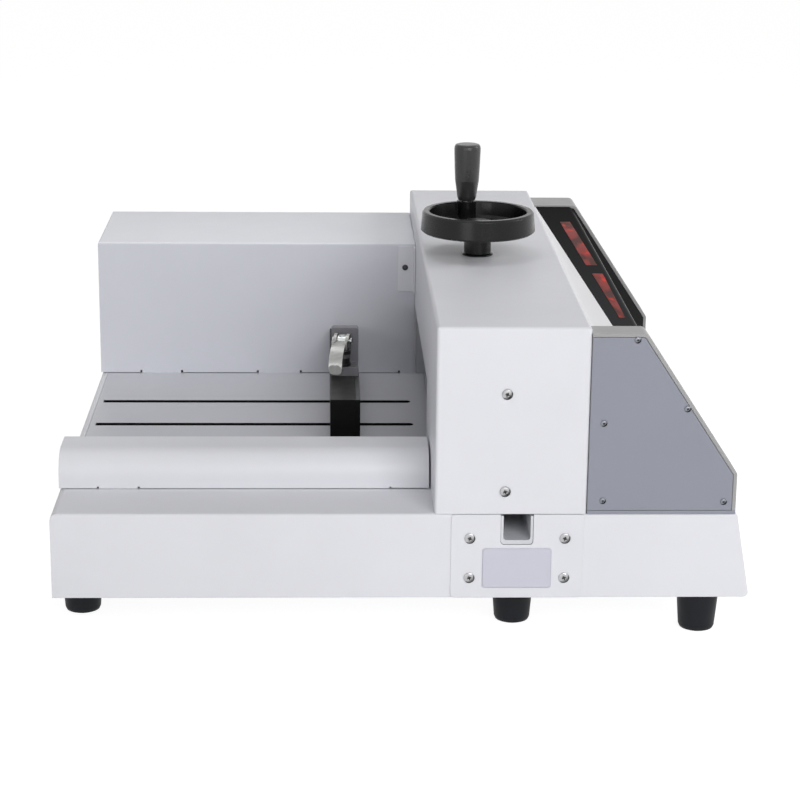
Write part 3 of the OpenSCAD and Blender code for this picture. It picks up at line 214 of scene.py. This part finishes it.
def paint(name, colour, roughness=0.42, peel=0.000012, edge_tone=1.15, edge=0.0012, above=None):
    """Powder coat: faint mottling, orange peel, and a paler tone along the bends that is a painted highlight.

    above is a height and the colour that the paint has over it, for a piece with two tones. On the motor
    cover the paler top is painted light, not a second paint.
    """
    s = Shader(name)
    rounded = s.soft_edges(edge)
    mottle = s.cloud(scale=9.0, detail=4.0)
    tone = s.varied(mottle, colour, *MOTTLE_SHADES)
    edge_colour = colour
    if above:
        height, edge_colour = above
        over = s.math("GREATER_THAN", s.along("Z"), height)
        tone = s.mixed(over, tone, s.varied(mottle, edge_colour, *MOTTLE_SHADES))
    # Painted highlight: the bends take up a paler tone, as if they catch the light
    tone = s.edged(tone, rounded, share=0.6, edge_colour=shade(edge_colour, edge_tone))
    rough = s.cloud(scale=35.0, detail=3.0, low=roughness - 0.04, high=roughness + 0.05)
    normal = s.bump(s.noise(scale=620.0, detail=2.0), distance=peel, normal=rounded)
    s.surface(tone, rough, normal, specular=0.3)
    return s.material


def ended(name, end_colour, colour, end_y, roughness=0.42, bare_metal=True):
    """Brushed metal, or brushed black paint, with a black end toward -Y."""
    s = Shader(name)
    inner = s.math("GREATER_THAN", s.along("Y"), end_y)
    lines = s.streaks(scale=(40.0, 12.0, 700.0))
    brushed = s.varied(s.spread(lines, 0.0, 1.0), colour, *STREAK_SHADES)
    tone = s.mixed(inner, end_colour, brushed)
    rough = s.cloud(scale=40.0, detail=4.0, low=roughness - 0.06, high=roughness + 0.09)
    normal = s.bump(lines, distance=STREAK_DEPTH, normal=s.soft_edges(radius=0.0006))
    body = s.surface(tone, rough, normal, specular=0.1)
    if bare_metal:
        s.link(inner, body.inputs["Metallic"])
    return s.material


def moulded(name, colour, roughness=0.3, grain=0.00001, grain_scale=1500.0, coat=0.0, edge_tone=1.6,
            specular=0.5):
    """Moulded plastic or rubber: fine grain, faint flow marks and paler edges."""
    s = Shader(name)
    rounded = s.soft_edges(radius=0.0007)
    tone = s.varied(s.cloud(scale=22.0, detail=5.0), colour, low_shade=0.9, high_shade=1.1)
    tone = s.edged(tone, rounded, share=0.3, edge_colour=shade(colour, edge_tone))
    rough = s.cloud(scale=60.0, detail=4.0, low=roughness - 0.05, high=roughness + 0.07)
    normal = s.bump(s.noise(scale=grain_scale, detail=2.0), distance=grain, normal=rounded)
    s.surface(tone, rough, normal, specular=specular, coat=coat)
    return s.material


def metal(name, colour, roughness=0.32, streak=(14.0, 900.0, 900.0)):
    """Ground or brushed metal: fine streaks along one direction, cloudy roughness and bright edges."""
    s = Shader(name)
    rounded = s.soft_edges(radius=0.0005)
    lines = s.streaks(streak)
    tone = s.varied(s.spread(lines, 0.0, 1.0), colour, *STREAK_SHADES)
    tone = s.edged(tone, rounded, share=0.5, edge_colour=shade(colour, 1.15))
    rough = s.cloud(scale=40.0, detail=4.0, low=roughness - 0.06, high=roughness + 0.09)
    s.surface(tone, rough, s.bump(lines, distance=STREAK_DEPTH, normal=rounded), metallic=1.0)
    return s.material


def casting(name, colour, roughness=0.55):
    """Cast iron or dark steel: sandy bump with darker pits."""
    s = Shader(name)
    rounded = s.soft_edges(radius=0.0012)
    tone = s.varied(s.cloud(scale=260.0, detail=5.0), colour, low_shade=0.78, high_shade=1.12)
    tone = s.edged(tone, rounded, share=0.5, edge_colour=shade(colour, 1.4))
    rough = s.cloud(scale=80.0, detail=4.0, low=roughness - 0.08, high=roughness + 0.1)
    normal = s.bump(s.noise(scale=700.0, detail=4.0), distance=0.00006, normal=rounded)
    s.surface(tone, rough, normal, metallic=0.55)
    return s.material


# The grey washer between the black ones: its faces' depths below the bright steel, and its tone
WASHER_TOP, WASHER_FOOT = 0.0042, 0.0088
WASHER_GREY = (0.12, 0.12, 0.125)


def zoned(name, lower, upper, height, roughness=0.3):
    """Bright steel above a height, and below it a stack of black washers with a grey one between them."""
    s = Shader(name)
    level = s.along("Z")
    above = s.math("GREATER_THAN", level, height)
    between = s.math("MULTIPLY", s.math("GREATER_THAN", level, height - WASHER_FOOT),
                     s.math("LESS_THAN", level, height - WASHER_TOP))
    wear = s.cloud(scale=180.0, detail=4.0)
    washers = s.varied(wear, lower, low_shade=0.8, high_shade=1.3)
    stack = s.mixed(between, washers, WASHER_GREY)
    tone = s.mixed(above, stack, s.varied(wear, upper, low_shade=0.85, high_shade=1.1))
    rough = s.cloud(scale=60.0, detail=4.0, low=roughness - 0.05, high=roughness + 0.1)
    normal = s.bump(s.noise(scale=500.0, detail=3.0), distance=0.00002, normal=s.soft_edges(radius=0.0005))
    body = s.surface(tone, rough, normal)
    s.link(above, body.inputs["Metallic"])
    return s.material


# The direction of a screw head's painted shade, a dark crescent laid on by the way its normal leans, and how
# far its normal leans that way where the painted shade starts and where it is full
PAINTED_SHADE_SIDE = (0.62, 0.0, -0.78)
PAINTED_SHADE_START, PAINTED_SHADE_FULL = 0.02, 0.18


def domed(name, colour, roughness=0.28):
    """Plated screw heads with a dark crescent of painted shade at their lower right, which leaves them
    brighter toward the upper left.
    """
    s = Shader(name)
    rounded = s.soft_edges(radius=0.0006)
    leaning = s.add("ShaderNodeVectorMath", operation="DOT_PRODUCT")
    leaning.inputs[1].default_value = PAINTED_SHADE_SIDE
    s.link(rounded, leaning.inputs[0])
    # Painted shade: dark where the head's normal leans toward its lower right
    painted_shade = s.spread(leaning.outputs["Value"], 0.0, 1.0, PAINTED_SHADE_START, PAINTED_SHADE_FULL)
    bright = s.varied(s.cloud(scale=260.0, detail=4.0), colour, low_shade=0.88, high_shade=1.1)
    tone = s.mixed(painted_shade, bright, shade(colour, 0.08))
    rough = s.cloud(scale=60.0, detail=4.0, low=roughness - 0.05, high=roughness + 0.08)
    normal = s.bump(s.noise(scale=900.0, detail=2.0), distance=0.000008, normal=rounded)
    s.surface(tone, rough, normal, metallic=1.0)
    return s.material


# The cover's bend, as depths below its top, and the tint of the light that its sheet lets through
BEND_TOP, BEND_FOOT = 0.005, 0.010
SMOKE = (0.55, 0.58, 0.6, 1.0)


def tinted(name, far_colour, near_reflection_colour, see_through=0.36):
    """Smoked sheet, opaque on its level strip and see-through below the bend, with a painted reflection that
    makes it paler toward its near end.
    """
    s = Shader(name)
    # Painted reflection: the sheet's colour pales from its far end to its near end
    painted_reflection_share = s.spread(s.along("Y"), 1.0, 0.0, COVER_LOW[1], COVER_HIGH[1])
    tone = s.mixed(painted_reflection_share, far_colour, near_reflection_colour)
    wipes = s.streaks(scale=(30.0, 160.0, 30.0), detail=4.0)
    body = s.surface(tone, s.spread(wipes, 0.06, 0.15), s.soft_edges(radius=0.0008), specular=0.0005)
    clear = s.add("ShaderNodeBsdfTransparent")
    clear.inputs["Color"].default_value = SMOKE
    foot, top = COVER_HIGH[2] - BEND_FOOT, COVER_HIGH[2] - BEND_TOP
    clearness = s.spread(s.along("Z"), see_through, 0.0, foot, top)
    s.blended(clearness, body.outputs["BSDF"], clear.outputs["BSDF"])
    return s.material


def board(name, colour):
    """Circuit board: fine tracks as a pattern of lines, on green lacquer."""
    s = Shader(name)
    tracks = s.add("ShaderNodeTexBrick")
    tracks.inputs["Scale"].default_value = 160.0
    tracks.inputs["Mortar Size"].default_value = 0.03
    s.link(s.place, tracks.inputs["Vector"])
    tone = s.varied(tracks.outputs["Fac"], colour, low_shade=0.8, high_shade=1.5)
    rough = s.cloud(scale=50.0, detail=3.0, low=0.25, high=0.4)
    s.surface(tone, rough, s.soft_edges(radius=0.0004))
    return s.material


# Tones that more than one finish uses
WHITE = (0.79, 0.795, 0.835)
BLUE_GREY = (0.295, 0.308, 0.362)
END_BLACK = (0.0025, 0.0025, 0.0026)

# Where a piece's tone changes: the foot of the stud's bright eye, the depth of the pusher's black ends, the
# height above which the motor cover's top takes a painted light, and the height at which the panels'
# two-toned paint changes
EYE_FOOT = LEVER_TOP - 0.0185
END_SKIN = 0.0005
WALL_LIT_TOP_SPLIT = WALL_TOP - 0.001
PANEL_SPLIT = PANEL_FOOT + 0.0041

FINISHES = {
    "painted_white": paint("painted_white", WHITE),
    "strip_white": paint("strip_white", (0.97, 0.97, 0.99)),
    # The motor cover's paler top is painted light: the same paint made paler where the light falls on the top
    "wall_paint": paint("wall_paint", (0.72, 0.73, 0.79), roughness=0.4, peel=0.00001, edge=0.0008,
                        above=(WALL_LIT_TOP_SPLIT, (0.82, 0.83, 0.88))),
    "table_grey": paint("table_grey", (0.60, 0.605, 0.64), roughness=0.36, peel=0.00002),
    "frame_paint": paint("frame_paint", (0.62, 0.63, 0.66)),
    "panel_grey": paint("panel_grey", BLUE_GREY, roughness=0.4, peel=0.00001, edge=0.0008,
                        above=(PANEL_SPLIT, (0.385, 0.383, 0.383))),
    "panel_blue_grey": paint("panel_blue_grey", BLUE_GREY, roughness=0.36, peel=0.000008),
    "upright_grey": paint("upright_grey", (0.172, 0.172, 0.188), roughness=0.4),
    "motor_paint": paint("motor_paint", (0.06, 0.09, 0.13), roughness=0.45, peel=0.00005),
    "face_end_black": ended("face_end_black", END_BLACK, (0.085, 0.087, 0.09), FACE_END + END_SKIN),
    "bar_black": ended("bar_black", END_BLACK, (0.034, 0.034, 0.034), BAR_END + END_SKIN, bare_metal=False),
    # The black liners in the table's slots are painted shade, standing for the dark space below the table
    "slot_black": moulded("slot_black", (0.003, 0.003, 0.003), roughness=0.6, specular=0.1),
    "panel_black": moulded("panel_black", (0.006, 0.006, 0.0065), roughness=0.45, specular=0.25),
    "foot_rubber": moulded("foot_rubber", (0.008, 0.009, 0.012), roughness=0.5, grain=0.00004,
                           grain_scale=900.0, specular=0.2),
    "wheel_black": moulded("wheel_black", (0.004, 0.004, 0.0042), roughness=0.26, grain=0.0000012,
                           coat=0.06, specular=0.26),
    "grip_black": moulded("grip_black", (0.026, 0.026, 0.0265), roughness=0.28, grain=0.0000015),
    "liner_white": moulded("liner_white", (0.70, 0.71, 0.75), roughness=0.4, edge_tone=1.05),
    "stick_plastic": moulded("stick_plastic", (0.70, 0.62, 0.44), roughness=0.45, edge_tone=1.08),
    "inlet_black": moulded("inlet_black", (0.012, 0.012, 0.013), roughness=0.42),
    "button_green": moulded("button_green", (0.02, 0.22, 0.05), roughness=0.25, coat=0.3, edge_tone=1.2),
    "rocker_red": moulded("rocker_red", (0.42, 0.02, 0.015), roughness=0.25, coat=0.3, edge_tone=1.2),
    "bezel_dark": moulded("bezel_dark", (0.03, 0.03, 0.033), roughness=0.35),
    "bright_steel": metal("bright_steel", (0.62, 0.62, 0.63), streak=(500.0, 500.0, 20.0)),
    "knife_steel": metal("knife_steel", (0.70, 0.71, 0.73), roughness=0.2, streak=(900.0, 900.0, 30.0)),
    "bronze": metal("bronze", (0.60, 0.42, 0.18), streak=(600.0, 600.0, 20.0)),
    "lever_satin": metal("lever_satin", (0.33, 0.33, 0.322), roughness=0.35, streak=(60.0, 500.0, 60.0)),
    "frame_steel": casting("frame_steel", (0.36, 0.365, 0.375)),
    "dark_casting": casting("dark_casting", (0.13, 0.132, 0.14)),
    "black_screw": casting("black_screw", (0.05, 0.05, 0.055), roughness=0.4),
    "panel_screw": domed("panel_screw", (0.24, 0.25, 0.28)),
    "zinc_screw": domed("zinc_screw", (0.45, 0.45, 0.46)),
    "stud_zones": zoned("stud_zones", (0.008, 0.008, 0.009), (0.62, 0.64, 0.64), EYE_FOOT),
    "cover_tint": tinted("cover_tint", (0.002, 0.002, 0.002), (0.045, 0.046, 0.048)),
    "board_green": board("board_green", (0.02, 0.10, 0.05)),
}

# Nodes that look unlike the finish of their record slot
LOOKS = {
    "clamp_stud": "stud_zones",
    "revolving_grip": "grip_black",
    "pusher_face": "face_end_black",
    "pusher_bar": "bar_black",
    "cover_bracket": "painted_white",
    "panel_screws": "panel_screw",
    "cover_rail": "strip_white",
}


def finish_nodes():
    """Gives each CAD node the finish of its record slot, or its own look."""
    for part in frame["record"]["subparts"]:
        node = NODES[part["node"]]
        material = FINISHES[LOOKS.get(part["node"], part["material_slot"])]
        if not node.material_slots:
            node.data.materials.append(material)
        for slot in node.material_slots:
            slot.material = material


def rounded_loop(width, height, radius, steps=6):
    """Points of a rectangle with round corners, centred on the origin."""
    points = []
    for cx, cy, start in ((1, 1, 0), (-1, 1, 90), (-1, -1, 180), (1, -1, 270)):
        for i in range(steps + 1):
            a = math.radians(start + 90 * i / steps)
            points.append((cx * (width / 2 - radius) + radius * math.cos(a),
                           cy * (height / 2 - radius) + radius * math.sin(a)))
    return points


def add_shell(bm, rings):
    """Joins rings of points, one after another, into a closed shell with a cap at each end."""
    loops = [[bm.verts.new(point) for point in ring] for ring in rings]
    for first, second in zip(loops, loops[1:]):
        for i in range(len(first)):
            j = (i + 1) % len(first)
            bm.faces.new((first[i], first[j], second[j], second[i]))
    bm.faces.new(loops[0])
    bm.faces.new(loops[-1])


def new_piece(name, shells, material, body):
    """A new object from closed shells, each a list of rings, finished and riding on a body."""
    mesh = bpy.data.meshes.new(name)
    bm = bmesh.new()
    for rings in shells:
        add_shell(bm, rings)
    bmesh.ops.recalc_face_normals(bm, faces=bm.faces)
    bm.to_mesh(mesh)
    bm.free()
    piece = bpy.data.objects.new(name, mesh)
    bpy.context.scene.collection.objects.link(piece)
    mesh.materials.append(material)
    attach(piece, body)


# Bare label plate under the port: its size, corner radius, centre, and how far its paler rim shows
LABEL_W, LABEL_H, LABEL_T = 0.0704, 0.0430, 0.0004
LABEL_CORNER = 0.0032
LABEL_X = PLATE_LOW[0] + 0.0669
LABEL_Z = PLATE_LOW[2] + 0.0318
LABEL_RIM = 0.0006


def label_slab(inset, thickness, lift):
    """Rings of a slab that lies on the access plate and has a chamfered outer edge."""
    rings = []
    for depth, shrink in ((0.0, 0.0), (thickness * 0.7, 0.0), (thickness, thickness * 0.5)):
        margin = 2 * (inset + shrink)
        y = PLATE_LOW[1] - lift - depth
        loop = rounded_loop(LABEL_W - margin, LABEL_H - margin, LABEL_CORNER)
        rings.append([(LABEL_X + x, y, LABEL_Z + z) for x, z in loop])
    return rings


def label_plate():
    """The label's rim, and its face that stands out a little from it."""
    rim = label_slab(0.0, LABEL_T, 0.0)
    face = label_slab(LABEL_RIM, LABEL_T * 0.5, LABEL_T * 0.8)
    rim_paint = paint("label_rim", (0.71, 0.71, 0.78))
    face_paint = paint("label_face", (0.62, 0.62, 0.71), roughness=0.5, edge_tone=1.04)
    new_piece("label_rim", [rim], rim_paint, "machine")
    new_piece("label_face", [face], face_paint, "machine")


# Two red films on the cover's level strip: the ends of each one's middle line, along X and Y from the cover's
# rear near corner, and its width at either end
FILMS = (((0.0273, 0.5302), (0.0319, 0.2838), 0.0125, 0.0125),
         ((0.0333, 0.2418), (0.0349, 0.0381), 0.0117, 0.0060))
FILM_T = 0.0003
FILM_CORNER = 0.0015


def film_material():
    """Red film whose dark and bright patches are drawn out along it; its brightest patches are painted
    highlights.
    """
    s = Shader("red_film")
    drawn = s.stretched((1.0, 0.28, 1.0))
    depth = s.spread(s.noise(scale=70.0, detail=1.0, place=drawn), 0.0, 1.0, 0.36, 0.56)
    # The brightest red patches are painted highlights
    painted_glint = s.spread(s.noise(scale=95.0, detail=1.0, place=drawn), 0.0, 1.0, 0.57, 0.72)
    tone = s.mixed(depth, (0.090, 0.015, 0.009), (0.31, 0.034, 0.028))
    tone = s.mixed(painted_glint, tone, (0.80, 0.030, 0.012))
    rough = s.cloud(scale=12.0, detail=3.0, low=0.28, high=0.36)
    s.surface(tone, rough, s.soft_edges(radius=0.0001), specular=0.01)
    return s.material


def film_rings(start, end, start_width, end_width):
    """Rings of a film with round corners that tapers from its start to its end."""
    along = (end - start).normalized()
    across = Vector((-along.y, along.x, 0.0))
    length = (end - start).length
    taper = end_width / start_width - 1.0
    rings = []
    for lift in (0.0, FILM_T):
        ring = []
        for a, b in rounded_loop(length, start_width, FILM_CORNER, 4):
            share = a / length + 0.5
            point = start + along * (a + length / 2) + across * (b * (1.0 + taper * share))
            ring.append((point.x, point.y, point.z + lift))
        rings.append(ring)
    return rings


def red_films():
    """The films, stuck on the dark strip."""
    material = film_material()
    corner = Vector((COVER_LOW[0], COVER_LOW[1], COVER_HIGH[2]))
    for number, (first, second, first_width, second_width) in enumerate(FILMS):
        start = corner + Vector((*first, 0.0))
        end = corner + Vector((*second, 0.0))
        rings = film_rings(start, end, first_width, second_width)
        new_piece(f"red_film_{number}", [rings], material, "front_cover")


# Cross recesses, drawn as crosses of painted shade: half length and half width of the slots for each node of
# screws
CROSSES = (
    ("head_screws", 0.0023, 0.0006),
    ("access_screws", 0.0023, 0.0006),
    ("panel_screws", 0.0014, 0.0004),
    ("bracket_screw", 0.0018, 0.0005),
)
# How far a cross stands proud of the head and reaches into it
CROSS_PROUD, CROSS_DEPTH = 0.00006, 0.0006
# Turn of the first cross of a node, and of each next one against it, in degrees
FIRST_TURN, NEXT_TURN = 20, 47


def islands(node):
    """Low and high corner of each separate solid of a CAD node."""
    bm = bmesh.new()
    bm.from_mesh(NODES[node].data)
    bmesh.ops.remove_doubles(bm, verts=bm.verts, dist=1e-6)
    seen, found = set(), []
    for vert in bm.verts:
        if vert in seen:
            continue
        stack, group = [vert], []
        seen.add(vert)
        while stack:
            v = stack.pop()
            group.append(v.co.copy())
            for edge in v.link_edges:
                other = edge.other_vert(v)
                if other not in seen:
                    seen.add(other)
                    stack.append(other)
        low = Vector(min(p[i] for p in group) for i in range(3))
        high = Vector(max(p[i] for p in group) for i in range(3))
        found.append((low, high))
    bm.free()
    return found


def cross_shells(centre, face_y, out, reach, half, turn):
    """Two crossing bars in a screw head that faces along Y, toward +Y where out is 1."""
    shells = []
    for angle in (turn, turn + math.pi / 2):
        ux, uz = math.cos(angle), math.sin(angle)
        corners = []
        for a, b in ((-reach, -half), (reach, -half), (reach, half), (-reach, half)):
            corners.append((centre.x + a * ux - b * uz, centre.z + a * uz + b * ux))
        levels = (face_y + out * CROSS_PROUD, face_y - out * CROSS_DEPTH)
        shells.append([[(x, y, z) for x, z in corners] for y in levels])
    return shells


def cross_recesses():
    """Crosses of painted shade, a little proud of the heads of the screws outside the casings, in place of
    their cross slots.
    """
    # The crosses are painted shade of the recesses
    dark = moulded("recess_painted_shade", (0.07, 0.07, 0.072), roughness=0.6)
    for node, reach, half in CROSSES:
        for number, (low, high) in enumerate(islands(node)):
            centre = (low + high) / 2
            # Heads face outward on either side, but the bracket's screw, on the far half, faces the near side
            out = 1 if centre.y > 0 and node != "bracket_screw" else -1
            face_y = high.y if out > 0 else low.y
            turn = math.radians(FIRST_TURN + NEXT_TURN * number)
            shells = cross_shells(centre, face_y, out, reach, half, turn)
            new_piece(f"recess_{node}_{number}", shells, dark, "machine")


# The floor's half width and whiteness
FLOOR_REACH = 12.0
FLOOR_WHITE = (0.97, 0.97, 0.97, 1.0)
# To the camera the floor blends a glow with its lit surface, which keeps the shadow. The glow times its share
# is under 1, and the lit surface makes up the rest of the white
FLOOR_GLOW = 1.27
FLOOR_GLOW_SHARE = 0.72

# How strongly the surround lights the object, and how bright it looks
SURROUND_LEVEL = 0.28
SURROUND_LOOK = 1.0


def seen_directly(tree):
    """1 for rays from the camera, off glossy surfaces and through clear ones, and 0 for others."""
    path = tree.nodes.new("ShaderNodeLightPath")
    seen = path.outputs["Is Camera Ray"]
    for kind in ("Is Glossy Ray", "Is Transmission Ray"):
        either = tree.nodes.new("ShaderNodeMath")
        either.operation = "MAXIMUM"
        tree.links.new(seen, either.inputs[0])
        tree.links.new(path.outputs[kind], either.inputs[1])
        seen = either.outputs[0]
    return seen


def floor():
    """Pale floor that glows to the camera and keeps the object's shadow."""
    bm = bmesh.new()
    bmesh.ops.create_grid(bm, x_segments=1, y_segments=1, size=FLOOR_REACH)
    mesh = bpy.data.meshes.new("floor")
    bm.to_mesh(mesh)
    bm.free()
    ground = bpy.data.objects.new("floor", mesh)
    bpy.context.scene.collection.objects.link(ground)
    s = Shader("floor")
    lit = s.add("ShaderNodeBsdfDiffuse")
    lit.inputs["Color"].default_value = FLOOR_WHITE
    glow = s.add("ShaderNodeEmission")
    glow.inputs["Strength"].default_value = FLOOR_GLOW
    share = s.math("MULTIPLY", seen_directly(s.tree), FLOOR_GLOW_SHARE)
    s.blended(share, lit.outputs["BSDF"], glow.outputs["Emission"])
    mesh.materials.append(s.material)


def surround():
    """World that lights the object softly and looks white."""
    world = bpy.data.worlds.new("surround")
    bpy.context.scene.world = world
    world.use_nodes = True
    tree = world.node_tree
    tree.nodes.clear()
    output = tree.nodes.new("ShaderNodeOutputWorld")
    blend = tree.nodes.new("ShaderNodeMixShader")
    tree.links.new(seen_directly(tree), blend.inputs["Fac"])
    for socket, strength in ((1, SURROUND_LEVEL), (2, SURROUND_LOOK)):
        background = tree.nodes.new("ShaderNodeBackground")
        background.inputs["Color"].default_value = (1.0, 1.0, 1.0, 1.0)
        background.inputs["Strength"].default_value = strength
        tree.links.new(background.outputs["Background"], blend.inputs[socket])
    tree.links.new(blend.outputs["Shader"], output.inputs["Surface"])


def softbox(name, place, aim, size, watts, spread=180.0):
    """A rectangular light at a place, turned toward its aim, whose light spreads by an angle in degrees."""
    light = bpy.data.lights.new(name, "AREA")
    light.spread = math.radians(spread)
    light.shape = "RECTANGLE"
    light.size, light.size_y = size
    light.energy = watts
    lamp = bpy.data.objects.new(name, light)
    bpy.context.scene.collection.objects.link(lamp)
    lamp.location = place
    lamp.rotation_mode = "QUATERNION"
    lamp.rotation_quaternion = (Vector(aim) - Vector(place)).to_track_quat("-Z", "Y")


def lights():
    """A broad key and a low fill from the camera's side, one from the right, and a narrow one from above."""
    softbox("key_softbox", place=(0.9, -3.0, 1.65), aim=(0.0, 0.0, 0.15), size=(2.0, 1.4), watts=50.5)
    softbox("low_softbox", place=(-1.3, -3.0, 0.5), aim=(0.0, 0.0, 0.2), size=(1.2, 0.6), watts=7.0)
    softbox("right_softbox", place=(2.2, 0.15, 1.25), aim=(0.12, 0.0, 0.32), size=(0.9, 0.9), watts=20.0)
    softbox("gridded_softbox", place=(-0.30, 0.02, 1.45), aim=(-0.27, 0.13, 0.2), size=(0.7, 0.6),
            watts=0.33, spread=46.0)


def camera():
    """The photograph's camera."""
    yaw, pitch, roll = CAMERA_YAW, CAMERA_PITCH, CAMERA_ROLL
    ahead = Vector((math.sin(yaw) * math.cos(pitch), math.cos(yaw) * math.cos(pitch), -math.sin(pitch)))
    level = Vector((math.cos(yaw), -math.sin(yaw), 0.0))
    up = level.cross(ahead)
    right = math.cos(roll) * level + math.sin(roll) * up
    up = -math.sin(roll) * level + math.cos(roll) * up
    data = bpy.data.cameras.new("camera")
    data.lens = CAMERA_LENS
    data.sensor_width = CAMERA_SENSOR
    data.clip_end = CAMERA_FAR_CLIP
    cam = bpy.data.objects.new("camera", data)
    bpy.context.scene.collection.objects.link(cam)
    turn = Matrix((right, up, -ahead)).transposed().to_4x4()
    cam.matrix_world = Matrix.Translation(CAMERA_PLACE) @ turn
    bpy.context.scene.camera = cam


finish_nodes()
label_plate()
red_films()
cross_recesses()
floor()
surround()
lights()
camera()
bpy.context.scene.view_settings.view_transform = "Standard"
